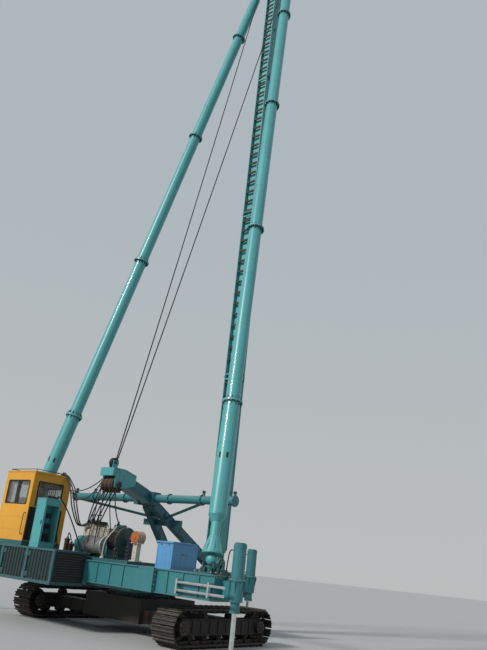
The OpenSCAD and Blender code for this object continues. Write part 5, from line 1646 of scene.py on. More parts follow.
@dataclass
class Cab:
    """Gaskets, rails, seams, handle, wiper and lamp of the cab."""

    x: Range = (-2.79, -1.75)
    y: Range = (1.54, 2.64)
    z: Range = (1.63, 3.12)
    wall: float = 0.05
    sill: float = 2.4048
    window_top: float = 2.95

    def windows(self) -> list[tuple[Range, Range, Callable[[float, float], Vector], Vector]]:
        """Every window: its two ranges, its place on the outer face and that face's direction."""
        (x0, x1), (y0, y1), sill, top = self.x, self.y, self.sill, self.window_top
        return [
            ((y0 + 0.13, y0 + 0.52), (sill + 0.02, top), lambda u, v: vec(x0, u, v), -X),
            ((y0 + 0.58, y1 - 0.13), (sill + 0.02, top), lambda u, v: vec(x0, u, v), -X),
            ((x0 + 0.15, x1 - 0.2), (sill, top), lambda u, v: vec(u, y0, v), -Y),
            ((y0 + 0.11, y1 - 0.11), (self.z[0] + 0.5662, 2.88), lambda u, v: vec(x1, u, v), X),
            ((x0 + 0.2, x1 - 0.21), (sill, self.z[1] - 0.19), lambda u, v: vec(u, y1, v), Y)]

    def gaskets(self, f: Finishes) -> None:
        """Adds the rubber round every window, the door's on the door."""
        gasket, door = Shape(), Shape()
        for u, v, at, out in self.windows():
            for step, r in ((0.004, 0.011), (-0.004, 0.007)):
                edge = rounded_frame((u[0] + step, u[1] - step), (v[0] + step, v[1] - step), 0.022, at)
                (door if out == Y else gasket).tube([p + out * 0.002 for p in edge], r, closed=True)
        (x, _), (y, _) = self.x, self.y
        gasket.box((x - 0.012, x + 0.002), (y + 0.515, y + 0.585), (self.sill + 0.01, self.window_top + 0.01))
        gasket.piece("cab_gaskets", f.gasket)
        door.piece("door_gasket", f.gasket, "cab_door")

    def panels(self, f: Finishes) -> None:
        """Adds pressed lines, corner beads and rivets on the walls, and a near-black louvred panel on the
        lower right wall that paints the shade there.
        """
        seams, rivets, shade_panel = Shape(), Shape(), Shape()
        (x0, x1), (y0, y1), z0 = self.x, self.y, self.z[0]
        for z in (1.86, 2.14):
            seams.box((x0 - 0.004, x0), (y0 + 0.03, y1 - 0.03), near(z, 0.004), 0.0015)
        for at in every((x0 + 0.006, x1 - 0.006), (y0 + 0.006, y1 - 0.006), z0):
            seams.lathe(at, Z, [(0, 0.009), (2.9 - z0, 0.009)], 12)
        for i in range(9):
            at = vec(x0, y0 + 0.06 + i * (y1 - y0 - 0.12) / 8, z0 + 0.03)
            rivets.lathe(at, -X, [(-0.002, 0.008), (0.003, 0.007), (0.005, 0)], 10)
        # Near-black louvred panel on the lower right wall: painted shade.
        shade_panel.box((x0 + 0.02, x1 - 0.13), (y0 - 0.01, y0 + 0.001), (z0 + 0.02, self.sill - 0.035))
        for i in range(12):
            shade_panel.slab(vec(x0 + 0.46, y0 - 0.014, z0 + 0.09 + i * 0.052), (0.36, 0.014, 0.003), 0.001, SLAT)
        shade_panel.piece("cab_side_painted_shade_panel", f.shade_black)
        seams.piece("cab_seams", f.yellow)
        rivets.piece("cab_rivets", f.yellow)

    def roof(self, f: Finishes) -> None:
        """Adds the rain gutter, the thin roof rail and its feet."""
        gutter, rail = Shape(), Shape()
        (x0, x1), (y0, y1) = self.x, self.y
        top = self.z[1] + self.wall
        side, depth = (x0 + 0.01, x1 - 0.26), near(top - 0.018, 0.012)
        for x, y in ((side, near(y0 - 0.021, 0.006)), (side, near(y1 + 0.021, 0.006)),
                     ((x0 - 0.012, x0), (y0 - 0.01, y1 + 0.01))):
            gutter.box(x, y, depth, 0.003)
        left, right, rear, front = y1 - 0.04, y0 + 0.04, x0 + 0.06, x1 - 0.3
        loop = [vec(x, y, top + 0.045) for x, y in ((rear, right), (front, right), (front, left),
                                                    (rear, left))]
        rail.tube(loop, 0.008, closed=True)
        rail.rods(0.008, *([vec(p.x, p.y, top - 0.004), p] for p in loop))
        gutter.piece("cab_gutter", f.yellow)
        rail.piece("cab_roof_rail", f.brown)

    def fittings(self, f: Finishes) -> None:
        """Adds the handle, the wiper, the lamp and the door's grip."""
        dark, lens, grip = Shape(), Shape(), Shape()
        (x0, x1), (y0, y1) = self.x, self.y
        handle = ((-0.001, 1.78), (-0.045, 1.8), (-0.045, 2.2), (-0.001, 2.22))
        dark.tube(smooth_path(*((x0 + dx, y0 + 0.07, z) for dx, z in handle), steps=6), 0.009)
        pivot = vec(x1 + 0.006, (y0 + y1) / 2, 2.9)
        dark.lathe(pivot - X * 0.004, X, [(0, 0.02), (0.02, 0.018), (0.024, 0)], 16)
        dark.bar(pivot + X * 0.012, pivot + vec(0.012, -0.22, -0.36), 0.01, 0.006, X)
        dark.bar(pivot + vec(0.008, -0.3, -0.28), pivot + vec(0.008, -0.13, -0.44), 0.008, 0.014, X)
        lamp = vec(x1 - 0.12, y0 + 0.2, self.z[1] + 0.1)
        dark.lathe(lamp - X * 0.03, X, [(0, 0.03), (0.02, 0.055), (0.07, 0.06), (0.078, 0.054)], 22)
        dark.tube([lamp - Z * 0.07, lamp - Z * 0.04], 0.01)
        lens.lathe(lamp + X * 0.044, X, [(0, 0.052), (0.008, 0.044), (0.012, 0)], 22)
        dark.piece("cab_fittings", f.black)
        lens.piece("cab_lamp_lens", f.lens)
        at = vec(x1 - 0.195, y1 + 0.034, self.sill - 0.1)
        bow = ((0, -0.05), (0.022, -0.045), (0.022, 0.045), (0, 0.05))
        grip.tube(smooth_path(*(at + vec(0, dy, dz) for dy, dz in bow), steps=5), 0.007)
        grip.piece("door_grip", f.black, "cab_door")

    def build(self, f: Finishes) -> None:
        """Builds the cab's details, the door's on the door."""
        self.gaskets(f)
        self.panels(f)
        self.roof(f)
        self.fittings(f)


@dataclass
class Seat:
    """Crowned cushions with welts and stitched channels on the driver's seat."""

    x: float = -2.41
    y: float = 2.09
    half: float = 0.23
    back_half: float = 0.22
    cushion_z: Range = (1.9603, 2.07)
    back_x: Range = (-2.64, -2.54)
    back_z: Range = (2.07, 2.59)
    steps: int = 18

    def cushion(self, shape: Shape, centre: Vector, axes: Sequence[Vector], half: Sequence[float],
                channels: int) -> list[Vector]:
        """Adds one stuffed cushion, crowned along its third axis.

        Args:
            shape: the shape that it goes into.
            centre: its middle.
            axes: its long, cross and crown directions.
            half: half its size along each.
            channels: the number of stitched grooves across its crown.

        Returns:
            The path of its welt.
        """
        steps = self.steps
        verts, faces, index = [], [], {}

        def point(u: float, v: float, top: int) -> Vector:
            """The cushion's surface over (u, v), on its crown or its flat side."""
            edge = max((1 - abs(u) ** 5) * (1 - abs(v) ** 5), 0.0)
            rise = half[2] * (0.22 + 0.78 * edge ** 0.42)
            if top > 0:
                for k in range(channels):
                    line = (k + 1) / (channels + 1) * 2 - 1
                    rise -= 0.011 * math.exp(-((u - line) / 0.035) ** 2) * edge
                rise -= 0.006 * math.exp(-((v * v + u * u) / 0.3)) * edge
            pinch = 1 - 0.03 * (1 - edge)
            flat = axes[0] * u * half[0] * pinch + axes[1] * v * half[1] * pinch
            return centre + flat + axes[2] * top * rise

        def spot(i: int, j: int, top: int) -> int:
            """The index of a grid point on one side of the cushion."""
            if (i, j, top) not in index:
                u, v = (math.sin(math.pi / 2 * (2 * k / steps - 1)) for k in (i, j))
                index[(i, j, top)] = len(verts)
                verts.append(point(u, v, top))
            return index[(i, j, top)]

        for i, j in product(range(steps), repeat=2):
            faces.append((spot(i, j, 1), spot(i + 1, j, 1), spot(i + 1, j + 1, 1), spot(i, j + 1, 1)))
            faces.append((spot(i, j, -1), spot(i, j + 1, -1), spot(i + 1, j + 1, -1), spot(i + 1, j, -1)))
        rim = [(i, 0) for i in range(steps)] + [(steps, j) for j in range(steps)]
        rim += [(i, steps) for i in range(steps, 0, -1)] + [(0, j) for j in range(steps, 0, -1)]
        for a, b in zip(rim, rim[1:] + rim[:1]):
            faces.append((spot(*a, -1), spot(*b, -1), spot(*b, 1), spot(*a, 1)))
        shape.add(verts, faces)
        return [verts[index[(i, j, 1)]] * 0.75 + verts[index[(i, j, -1)]] * 0.25 for i, j in rim]

    def build(self, f: Finishes) -> None:
        """Builds both cushions in place of the plain pads, with welts and frame parts."""
        pads, welts, frame = Shape(), Shape(), Shape()
        (low, high), (rear, front), (foot, top) = self.cushion_z, self.back_x, self.back_z
        bottom = vec(self.x, self.y, (low + high) / 2)
        back = vec((rear + front) / 2, self.y, (foot + top) / 2)
        tall = ((top - foot) / 2 - 0.002, self.back_half, (front - rear) / 2)
        for path in (self.cushion(pads, bottom, (X, Y, Z), (self.half, self.half, (high - low) / 2), 3),
                     self.cushion(pads, back, (Z, Y, X), tall, 4)):
            welts.tube(path, 0.0055, closed=True)
        for y in near(self.y, 0.33):
            frame.slab(vec(self.x + 0.05, y, 2.203), (0.17, 0.045, 0.013), 0.008)
            knob = [(0, 0.012), (0.008, 0.02), (0.03, 0.026), (0.052, 0.02), (0.06, 0)]
            for z, profile in ((2.37, knob), (2.19, [(0, 0.04), (0.02, 0.036), (0.06, 0.018)])):
                frame.lathe(vec(self.x + 0.2, y, z), Z, profile, 16)
        seat = pads.piece("seat_cushions", f.vinyl)
        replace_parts(seat, "seat_pads")
        welts.piece("seat_welts", f.vinyl)
        frame.piece("seat_controls", f.gasket)


@dataclass
class Winches:
    """Rope windings, brake, motor, gearbox and guides of the winch row."""

    x: float = -1.7
    main_z: float = 1.7
    aux_z: float = 1.815
    main: Range = (-0.05, 0.56)
    aux: Range = (-0.52, -0.23)
    main_core: float = 0.155
    aux_core: float = 0.14
    main_flange: float = 0.21
    aux_flange: float = 0.19
    base_z: float = 1.45
    rope_r: float = 0.011
    wheel: Range = (-0.664, -0.61)
    wheel_r: float = 0.29
    gear_x: float = -1.46
    post_y: float = -1.01
    valve_y: float = -0.79

    def winding(self, y: Range, z: float, core: float) -> list[Vector]:
        """Centre line of rope wound on a drum."""
        start, end = y[0] + 0.025 + self.rope_r, y[1] - 0.025 - self.rope_r
        turns = int((end - start) / (2.08 * self.rope_r)) + 0.5
        count = int(turns * 26)
        r = core + self.rope_r * 0.85
        steps = ((i / count, TAU * turns * i / count) for i in range(count + 1))
        return [vec(self.x + r * math.cos(a), start + (end - start) * t, z + r * math.sin(a))
                for t, a in steps]

    def drums(self, f: Finishes) -> None:
        """Adds rope, flange bolts and ribs on both drums."""
        for name, y, z, core, flange, rope, rim in (
                ("main_drum", self.main, self.main_z, self.main_core, self.main_flange, f.wound_rope,
                 f.silver),
                ("aux_drum", self.aux, self.aux_z, self.aux_core, self.aux_flange, f.rope, f.drum_blue)):
            Shape().tube(self.winding(y, z, core), self.rope_r, 7).piece(f"{name}_rope", rope, name)
            trim, bolts = Shape(), Shape()
            for edge, way in zip(y, BOTH):
                at = vec(self.x, edge, z)
                bolts.bolt_circle(at, Y * way, flange - 0.05, 10, 0.008, 0.006)
                trim.ring(at, Y * way, (flange - 0.022, flange - 0.003), (-0.001, 0.0055), 48)
                trim.ring(at, Y * way, (0.045, 0.085), (-0.001, 0.0085), 32)
            trim.piece(f"{name}_rims", rim, name)
            bolts.piece(f"{name}_bolts", f.bolt, name)

    def brake(self, f: Finishes) -> None:
        """Adds the brake wheel's rim, hub and spokes, and the band round it on its two legs."""
        wheel, bolts, band = Shape(), Shape(), Shape()
        for face, way in zip(self.wheel, BOTH):
            at = vec(self.x, face, self.aux_z)
            wheel.ring(at, Y * way, (self.wheel_r - 0.03, self.wheel_r - 0.001), (-0.001, 0.0075), 64)
            wheel.spokes(at + Y * way * 0.003, rays(6), (0.075, self.wheel_r - 0.03), 0.034, 0.008)
        hub = vec(self.x, self.wheel[0], self.aux_z)
        wheel.lathe(hub, -Y, [(-0.001, 0.075), (0.016, 0.072), (0.02, 0.05), (0.03, 0.046), (0.032, 0)])
        bolts.bolt_circle(hub - Y * 0.012, -Y, 0.06, 6, 0.007, 0.008)
        wheel.piece("brake_wheel_web", f.green, "aux_drum")
        bolts.piece("brake_wheel_bolts", f.bolt, "aux_drum")
        middle, r, half = vec(self.x, sum(self.wheel) / 2, self.aux_z), self.wheel_r + 0.008, Y * 0.022
        arc = aimed(*range(-30, 211, 10))
        for a, b in zip(arc, arc[1:]):
            corners = (a * r, a * (r + 0.007), b * (r + 0.007), b * r)
            band.prism([middle - half + corner for corner in corners], half * 2)
        for out in (arc[0], arc[-1]):
            band.slab(middle + out * (r + 0.022), (0.03, 0.022, 0.008), 0.003, (out, Y, out.cross(Y)))
        rear, front = near(self.x, 0.262)
        for x in (rear, front):
            band.bar(vec(x, middle.y, self.base_z), vec(x, middle.y, 1.66), 0.03, 0.03, X)
        band.tube([vec(rear, middle.y, 1.56), vec(front, middle.y, 1.5)], 0.012, 10)
        band.piece("brake_band", f.track)

    def pedestals(self, f: Finishes) -> None:
        """Adds bearing caps, their bolts and grease nipples."""
        caps, bolts = Shape(), Shape()
        for (start, end), z in ((self.main, self.main_z), (self.aux, self.aux_z)):
            for y in (start - 0.042, end + 0.042):
                for way in BOTH:
                    caps.box(near(self.x + way * 0.098, 0.02), near(y, 0.024), near(z + 0.011, 0.015))
                    toe = ((0.13, 0), (0.19, 0), (0.13, 0.16))
                    caps.prism([vec(self.x + way * dx, y - 0.008, self.base_z + dz) for dx, dz in toe],
                               Y * 0.016)
                bolts.bolts(every(near(self.x, 0.1), y, z + 0.026), Z, 0.012, 0.016)
                nipple = [(0, 0.014), (0.012, 0.012), (0.016, 0.006), (0.028, 0.006), (0.03, 0)]
                caps.lathe(vec(self.x, y, z + 0.078), Z, nipple, 10)
        caps.piece("winch_bearing_caps", f.dark_teal)
        bolts.piece("winch_bearing_bolts", f.bolt)

    def motor(self, f: Finishes) -> None:
        """Adds cooling fins, cover bolts, a terminal box and its cable on the motor."""
        fins, bolts, dark = Shape(), Shape(), Shape()
        at = vec(self.x, 0, self.main_z)
        for i in range(9):
            fins.ring(at + Y * (0.672 + i * 0.03), Y, (0.112, 0.134), (0, 0.012), 40)
        fins.ring(at + Y * 0.962, Y, (0.06, 0.108), (-0.001, 0.012), 40)
        bolts.bolt_circle(at + Y * 0.974, Y, 0.09, 8, 0.007, 0.008)
        bolts.bolt_circle(at + Y * 1.012, Y, 0.038, 6, 0.005, 0.006)
        fins.slab(at + vec(-0.02, 0.8, 0.145), (0.045, 0.07, 0.03), 0.006)
        bolts.bolts([at + d for d in every(near(-0.02, 0.025), near(0.8, 0.055), 0.175)], Z, 0.005, 0.005)
        cable = ((-0.02, 0.87, 0.145), (-0.02, 0.95, 0.14), (0.1, 1.03, 0), (0.24, 1.0, -0.1))
        dark.tube(smooth_path(*(at + Vector(d) for d in cable), steps=6), 0.013)
        fins.piece("motor_fins", f.motor_teal)
        bolts.piece("motor_bolts", f.bolt)
        dark.piece("motor_cable", f.hose)

    def gearbox(self, f: Finishes) -> None:
        """Adds covers, bolts, ribs, valve banks, levers and pipes on the gearbox."""
        covers, bolts, dark, pipes = Shape(), Shape(), Shape(), Shape()
        x = self.gear_x
        for y in ((0.27, 0.42), (0.45, 0.81), (0.84, 1.09)):
            covers.box((x - 0.014, x), y, (1.53, 2.03), 0.006)
            bolts.bolts(every(x - 0.014, (y[0] + 0.02, y[1] - 0.02), (1.55, 1.71, 1.86, 2.01)), -X, 0.008,
                        0.008)
        for z in ((1.47, 1.495), (2.066, 2.09)):
            covers.box((x - 0.004, -1.156), (0.236, 1.124), z)
        for y, out in ((0.24, -Y), (1.12, Y)):
            at = vec(-1.31, y, 1.8)
            cap = [(-0.002, 0.11), (0.012, 0.11), (0.016, 0.085), (0.03, 0.08), (0.034, 0)]
            covers.lathe(at, out, cap, 30)
            bolts.bolt_circle(at + out * 0.012, out, 0.098, 8, 0.007, 0.007)
        for i in range(6):
            y = 0.665 + i * 0.078
            dark.box((-1.436, -1.184), near(y, 0.03), (2.14, 2.226), 0.008)
            plug = [(-0.002, 0.018), (0.02, 0.016), (0.028, 0.01), (0.034, 0.01), (0.036, 0)]
            dark.lathe(vec(-1.436, y, 2.17), -X, plug, 14)
        for i in range(4):
            at = vec(-1.37, 0.71 + i * 0.1, 2.22)
            boot = [(0, 0.03), (0.012, 0.026), (0.022, 0.028), (0.034, 0.018), (0.05, 0.0105)]
            knob = [(0, 0.01), (0.006, 0.017), (0.02, 0.023), (0.034, 0.019), (0.042, 0)]
            dark.lathe(at, Z, boot, 16)
            dark.lathe(at + Z * 0.12, Z, knob, 16)
        pipes.rods(0.01, *(smooth_path((-1.4, y, 2.1), (-1.45, y, 2.17), (-1.5, y, 2.05),
                                       (-1.51, y + 0.02, 1.7),
                                       (-1.5, y, 1.47), steps=7) for y in (0.34, 0.52, 0.6, 0.74)))
        pipes.piece("gearbox_pipes", f.hose)
        covers.piece("gearbox_covers", f.pale)
        bolts.piece("gearbox_bolts", f.bolt)
        dark.piece("gearbox_valves", f.black)

    def filters(self, f: Finishes) -> None:
        """Adds the two oil filters and the pipe between them."""
        shape = Shape()
        for x, y, h in ((-1.96, 1.02, 0.28), (-1.94, 0.88, 0.18)):
            shape.lathe(vec(x, y, self.base_z), Z, [
                (0, 0.05), (0.02, 0.058), (h, 0.058), (h + 0.02, 0.066), (h + 0.045, 0.066), (h + 0.05, 0.03),
                (h + 0.09, 0.026), (h + 0.1, 0)], 24)
        shape.tube(smooth_path((-1.96, 1.02, 1.84), (-1.98, 0.96, 1.9), (-1.95, 0.88, 1.74), steps=6), 0.012)
        shape.piece("oil_filters", f.brown)

    def posts(self, f: Finishes) -> None:
        """Adds the brake lever, the small valve block and the fittings of both posts."""
        pale, green, dark, orange, bolts = Shape(), Shape(), Shape(), Shape(), Shape()
        x, base, post, valve = self.x, self.base_z, self.post_y, self.valve_y
        lever = smooth_path((-1.97, -0.26, base), (-1.97, -0.28, 1.76), (-1.955, -0.38, 1.92),
                            (-1.94, -0.5, 2.05), (-1.935, -0.56, 2.14), steps=7)
        pale.tube(lever, 0.016, 10)
        pale.lathe(lever[0], Z, [(0, 0.045), (0.02, 0.045), (0.04, 0.022), (0.05, 0.016)], 18)
        grip = [(0, 0.014), (0.02, 0.022), (0.09, 0.02), (0.1, 0)]
        dark.lathe(lever[-1] + vec(0, 0.004, -0.01), vec(0, -0.5, 0.86), grip, 14)
        green.box((-1.5, -1.36), (-0.24, 0.04), (2.05, 2.17), 0.01)
        green.bar(vec(-1.43, -0.1, base), vec(-1.43, -0.1, 2.05), 0.06, 0.04, X)
        for at in every(-1.5, (-0.2, -0.13, -0.06, 0.0), 2.11):
            dark.lathe(at, -X, [(-0.002, 0.02), (0.016, 0.018), (0.024, 0.011), (0.034, 0)], 12)
            bolts.bolts([at + vec(0.1, 0, 0.06)], Z, 0.01, 0.01)
        bolts.bolts(every(x - 0.06, post, (1.51, 1.64, 1.77, 1.9)), -X, 0.01, 0.01)
        pale.slab(vec(x, post, base + 0.01), (0.1, 0.1, 0.01))
        bolts.bolts(every(near(x, 0.08), near(post, 0.08), base + 0.02), Z, 0.009, 0.01)
        guide = vec(x, post, 1.93)
        for out in (-X, X):
            rim = [(-0.001, 0.126), (0.012, 0.126), (0.015, 0.1), (0.018, 0.045), (0.03, 0.04), (0.032, 0)]
            orange.lathe(guide + out * 0.09, out, rim, 34)
            bolts.bolt_circle(guide + out * 0.102, out, 0.11, 8, 0.007, 0.008)
        for dx in (-0.05, 0.0, 0.05):
            orange.ring(guide + X * dx, X, (0.11, 0.1245), near(0, 0.006), 34)
        for z in (1.55, 1.63, 1.71):
            port = [(-0.002, 0.024), (0.014, 0.022), (0.02, 0.013), (0.034, 0.013), (0.036, 0)]
            dark.lathe(vec(x - 0.06, valve, z), -X, port, 14)
        self.filters(f)
        dark.box(near(x, 0.066), near(valve, 0.056), (1.862, 1.894), 0.006)
        stick = [(0, 0.03), (0.014, 0.024), (0.02, 0.009), (0.11, 0.008), (0.12, 0.02), (0.15, 0.02),
                 (0.158, 0)]
        dark.lathe(vec(x, valve, 1.894), Z, stick, 14)
        pale.piece("brake_lever", f.pale)
        green.piece("valve_block", f.green)
        dark.piece("post_fittings", f.black)
        orange.piece("rope_guide_rims", f.orange)
        bolts.piece("post_bolts", f.bolt)

    def build(self, f: Finishes) -> None:
        """Builds every detail of the winch row."""
        self.drums(f)
        self.brake(f)
        self.pedestals(f)
        self.motor(f)
        self.gearbox(f)
        self.posts(f)


@dataclass
class ValveCabinet:
    """Rim, door seam, valves and lever knobs of the cabinet on the rear deck."""

    x: Range = (-2.95, -2.55)
    y: Range = (0.69, 1.01)
    z: Range = (1.53, 2.55)

    def build(self, f: Finishes) -> None:
        """Builds the cabinet's details."""
        rim, dark, bolts, pipes = Shape(), Shape(), Shape(), Shape()
        (x0, x1), (y0, y1), (z0, z1) = self.x, self.y, self.z
        for z in ((z0 + 0.106, z0 + 0.12), (z1 - 0.15, z1 - 0.136)):
            rim.box((x0 + 0.03, x1 - 0.03), (y0 - 0.008, y0), z, 0.003)
        for x in ((x0 + 0.028, x0 + 0.04), (x1 - 0.04, x1 - 0.028)):
            rim.box(x, (y0 - 0.008, y0), (z0 + 0.106, z1 - 0.136), 0.003)
        rim.box((x0 - 0.004, x0), (y0 + 0.02, y1 - 0.02), (z0 + 0.06, z0 + 0.066), 0.0015)
        for z in (z0 + 0.16, z1 - 0.24):
            rim.lathe(vec(x0 - 0.006, y1 - 0.014, z), Z, [(0, 0.009), (0.08, 0.009)], 10)
        rim.box((x0 - 0.006, x1 + 0.006), (y0 - 0.006, y1 + 0.006), (z1 - 0.014, z1 + 0.003))
        rim.piece("cabinet_rim", f.teal)
        dark.box((x0 - 0.012, x0), (y0 + 0.03, y0 + 0.055), (2.0, 2.09), 0.003)
        for z in (1.78, 1.98, 2.2):
            dark.box((x0 + 0.06, x1 - 0.06), (y1 - 0.13, y1 - 0.062), near(z, 0.05), 0.008)
            for i in range(4):
                at = vec(x0 + 0.1 + i * 0.066, y1 - 0.13, z)
                port = [(-0.002, 0.024), (0.02, 0.022), (0.028, 0.014), (0.045, 0.014), (0.047, 0)]
                dark.lathe(at, -Y, port, 12)
                if z < 2:
                    bends = (at - Y * 0.04, at + vec(0.004, -0.08, -0.03), at + vec(0.01, -0.07, -0.13))
                    pipes.tube(smooth_path(*bends, (at.x, at.y - 0.05, z0 + 0.121), steps=5), 0.009, 7)
        for i in range(5):
            at = vec(x0 + 0.1 + i * 0.05, (y0 + y1) / 2, z1 + 0.05)
            dark.lathe(at, Z, [(0, 0.024), (0.012, 0.02), (0.03, 0.009)], 12)
            knob = [(0, 0.009), (0.008, 0.016), (0.02, 0.0195), (0.03, 0.015), (0.036, 0)]
            dark.lathe(at + Z * 0.155, Z, knob, 14)
        bolts.bolts(every((x0 + 0.03, x1 - 0.03), (y0 + 0.03, y1 - 0.03), z1 + 0.003), Z, 0.009, 0.008)
        dark.piece("cabinet_valves", f.black)
        pipes.piece("cabinet_pipes", f.hose)
        bolts.piece("cabinet_bolts", f.bolt)


@dataclass
class ToolChest:
    """Edges, hasp, grips and lid panel of the tool chest."""

    x: Range = (-1.9, -1.16)
    y: Range = (-2.25, -1.82)
    z: Range = (1.39, 1.8797)
    lid_top: float = 1.905

    def build(self, f: Finishes) -> None:
        """Builds the chest's details, the lid's on the lid."""
        body, lid, dark = Shape(), Shape(), Shape()
        (x0, x1), (y0, y1), (z0, z1), top = self.x, self.y, self.z, self.lid_top
        for x, y in product((x0 + 0.013, x1 - 0.013), (y0 + 0.013, y1 - 0.013)):
            body.box(near(x, 0.017), near(y, 0.017), (z0 + 0.002, z1 - 0.012), 0.003)
        for y, way in ((y0, -1), (y1, 1)):
            for z in (z0 + 0.056, z1 - 0.079):
                body.box((x0 + 0.03, x1 - 0.03), (y, y + way * 0.003), near(z, 0.006), 0.001)
            mid = vec((x0 + x1) / 2, y + way * 0.003, 1.68)
            bow = ((-0.06, 0), (-0.055, 0.03), (0.055, 0.03), (0.06, 0))
            dark.tube(smooth_path(*(mid + vec(dx, way * dy, 0) for dx, dy in bow), steps=6), 0.006)
            for dx in near(0, 0.06):
                dark.lathe(mid + X * dx, Y * way, [(-0.004, 0.016), (0.004, 0.014), (0.006, 0)], 12)
        for y in (y0 + 0.11, y1 - 0.11):
            body.box((x0 - 0.003, x0), near(y, 0.05), (z0 + 0.07, z1 - 0.07), 0.001)
            dark.box((x0 - 0.008, x0 + 0.001), near(y, 0.018), (z1 - 0.05, z1 - 0.008), 0.002)
            dark.lathe(vec(x0 - 0.008, y, z1 - 0.035), -X, [(-0.001, 0.01), (0.012, 0.009), (0.014, 0)], 12)
        body.piece("chest_edges", f.blue)
        dark.piece("chest_fittings", f.bolt)
        lid.box((x0 + 0.04, x1 - 0.06), (y0 + 0.04, y1 - 0.04), (top, top + 0.004), 0.002)
        for x in (x0 + 0.17, (x0 + x1) / 2, x1 - 0.19):
            lid.box(near(x, 0.014), (y0 + 0.06, y1 - 0.06), (top + 0.003, top + 0.009))
        lid.box((x0 - 0.026, x0 - 0.02), (y0 - 0.02, y1 + 0.02), (top - 0.03, top), 0.002)
        lid.piece("chest_lid_panel", f.blue, "tool_chest_lid")


@dataclass
class Rigging:
    """Raising ropes, reeved ropes, hoses and service lines, each drawn between its two ends."""

    start: Triple = (-1.77, 0.024, 3.575)
    end: Triple = (1.965, 0.6, 21.79)
    payout: float = 0.1

    def raising(self, f: Finishes) -> None:
        """Two ropes from top sheave to crossarm, baked in place and riding on no body."""
        caps = Shape()
        for side in Side:
            start, end = (vec(x, side.value * y, z) for x, y, z in (self.start, self.end))
            rope = Shape().tube(sagging(start, end, 0.11, 400), 0.0145)
            line = rope.piece(f"raising_rope_{side.label}", f.rope, None)
            start.lerp(end, self.payout)
            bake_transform(line)
            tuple(start)
            socket = [(0, 0.016), (0.02, 0.026), (0.16, 0.03), (0.2, 0.034)]
            caps.lathe(end - (end - start).normalized() * 0.2, end - start, socket, 14)
        caps.piece("raising_rope_sockets", f.black, "mast")

    def reeving(self, f: Finishes) -> None:
        """Ropes from the drums up to the sheaves in the gantry's head."""
        rope = Shape()
        for *drum, y in ((-1.866, 0.42, 1.72, 0.126), (-1.866, 0.18, 1.72, 0.0),
                         (-1.851, -0.34, 1.835, -0.126)):
            rope.tube(sagging(Vector(drum), vec(-1.955, y, 2.99), 0.02, 16, -X * 0.02), 0.011)
        rope.piece("drum_ropes", f.rope)

    def hoses(self, f: Finishes) -> None:
        """Hoses that fan from the gantry's head to the valve gear, and the loops over the cab's corner."""
        shape, clips = Shape(), Shape()
        ends = (((0.224, 3.01), (1.06, 2.16)), ((0.104, 2.91), (1.02, 2.18)), ((-0.032, 2.9), (0.89, 2.17)),
                ((-0.168, 2.9), (0.79, 2.14)), ((-0.28, 2.92), (0.66, 2.15)))
        for n, (head, valve) in enumerate(ends):
            a, b = vec(-1.87, *head), vec(-1.43, *valve)
            shape.tube(sagging(a, b, 0.05 + 0.02 * n, 22, -X * 0.06), 0.014)
            clips.lathe(b - (b - a).normalized() * 0.05, b - a, [(0, 0.014), (0.01, 0.02), (0.05, 0.022)], 12)
        shape.tube(sagging(vec(-1.87, -0.24, 2.9), vec(-1.48, -0.13, 2.15), 0.06, 18, -X * 0.05), 0.013)
        for n in range(3):
            x = 0.05 * n
            loop = smooth_path((x - 1.93, 1.75, 3.175), (x - 1.93, 1.62, 3.24 - 0.02 * n),
                               (x - 1.93, 1.47, 3.1),
                               (x - 1.92, 1.3 - 0.03 * n, 2.86), (x - 1.88, 1.16 - 0.03 * n, 2.45),
                               (x - 1.7, 1.08, 2.1), (-1.5, 1.0 - 0.07 * n, 2.16), steps=7)
            shape.tube(loop, 0.015)
            clips.slab(vec(x - 1.93, 1.75, 3.178), (0.022, 0.03, 0.012), 0.003)
        shape.rods(
            0.012, sagging(vec(-1.95, 1.3, 2.86), vec(-1.9, 0.236, 3.12), 0.12),
            sagging(vec(-1.93, 1.27, 2.84), vec(-1.9, 0.236, 3.07), 0.3, 26))
        shape.rods(
            0.014, smooth_path((-2.6, 0.85, 2.5), (-2.52, 0.85, 2.62), (-2.3, 0.7, 2.3), (-2.04, 0.5, 1.7),
                               (-2.0, 0.45, 1.455)),
            smooth_path((-2.56, 0.95, 2.4), (-2.5, 0.98, 2.36), (-2.35, 0.95, 1.9), (-2.25, 0.9, 1.392)))
        shape.piece("service_hoses", f.hose)
        clips.piece("hose_ferrules", f.bolt)

    def build(self, f: Finishes) -> None:
        """Builds every rope and hose."""
        self.raising(f)
        self.reeving(f)
        self.hoses(f)


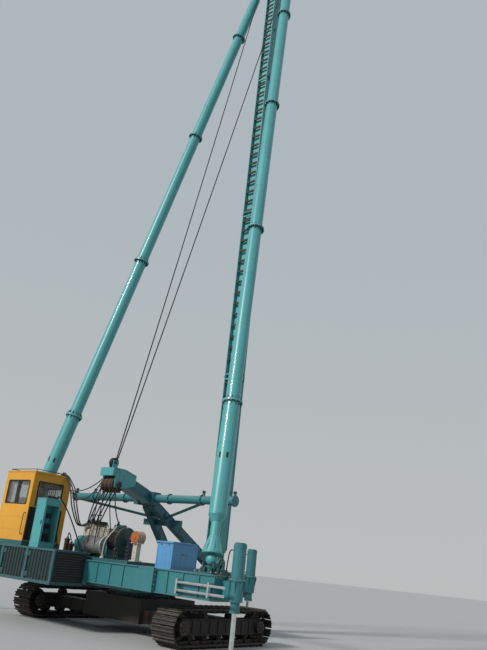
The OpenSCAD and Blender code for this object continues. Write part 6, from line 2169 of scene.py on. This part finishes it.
CORNERS = {
    "rear_left": (-1.85, 3.9), "rear_right": (-1.85, -3.9), "front_left": (2.0, 1.25),
    "front_right": (2.0, -1.25)}
NODES = {
    "teal": ("valve_cabinet", "crown_beam"),
    # These nodes take the beam paint, teal darkened as painted shade.
    "beam": ("main_frame", "rear_beam", "front_beam", "jack_tubes", "cross_tube"),
    # The gantry frame takes teal darkened as painted shade on its legs; its head is set back to plain teal
    # below.
    "gantry": ("gantry_frame",),
    "mast_teal": ("mast_column", "mast_channel", "mast_rails"),
    "stay_teal": ("stay_left", "stay_right"),
    "dark_teal": ("turntable", "stay_sockets", "mast_bracket", "winch_base", "mast_flanges", "cab_floor"),
    "deck": ("deck_plate",),
    "rusty_teal": ("rear_deck",),
    "black": ("crossarm", "crown_sheave_rear", "crown_sheave_front", "top_sheave", "cabinet_levers",
              "seat_base", "seat_pads"),
    "track": ("track_left", "track_right", "track_frame_left", "track_frame_right", "car_body"),
    "yellow": ("cab_back", "cab_right_side", "cab_left_side", "cab_front", "cab_roof", "cab_door"),
    "blue": ("tool_chest", "tool_chest_lid"),
    "green": ("brake_wheel",),
    "drum_blue": ("aux_drum", "control_post"),
    "motor_teal": ("winch_motor",),
    "beige": ("winch_gearbox",),
    "pale": ("rope_guide",),
    "brown": ("head_sheaves",),
    "chrome": (*(f"jack_rod_{name}" for name in CORNERS), "slide_rods"),
    "silver": ("main_drum",),
    "glass": ("cab_glass", "door_glass"),
}


def dress_nodes(finishes: Finishes) -> None:
    """Gives every node of the model its finish.

    Args:
        finishes: the built finishes.
    """
    for finish, nodes in NODES.items():
        material = getattr(finishes, finish).material
        for node in nodes:
            mesh = bpy.data.objects[node].data
            mesh.materials.clear()
            mesh.materials.append(material)
            LOG.info("%s: %s", node, material.name)
    for node, finish, inside in (
            # The gantry frame's head keeps the plain teal, while its legs keep the darker painted-shade teal.
            ("gantry_frame", finishes.teal, lambda p: p.x < -1.28),
            # The column's back face takes the lighter mast face paint, which is painted light.
            ("mast_column", finishes.mast_lit_face, lambda p: p.x < 1.96),
            *((f"jack_rod_{name}", finishes.track, lambda p: p.z < 0.16) for name in CORNERS)):
        mesh = bpy.data.objects[node].data
        mesh.materials.append(finish.material)
        for face in mesh.polygons:
            if inside(face.center):
                face.material_index = 1


def main() -> None:
    """Builds the finishes, the stage and every sub-assembly in order."""
    logging.basicConfig(level=logging.INFO, format="%(name)s %(message)s")
    random.seed(SEED)
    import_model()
    effects = Effects()
    finishes = Finishes(effects)
    Stage().build(effects)
    dress_nodes(finishes)
    jacks = (GroundJack(name, place) for name, place in CORNERS.items())
    stays = (Stay(side) for side in Side)
    for part in (Crawler(), Platform(), RearDeck(), *jacks, *stays, Mast(), Crossarm(), Crown(), Gantry(),
                 Cab(), Seat(), Winches(), ValveCabinet(), ToolChest(), Rigging()):
        LOG.info("building %s", type(part).__name__)
        part.build(finishes)
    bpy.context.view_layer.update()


if __name__ == "__main__":
    main()
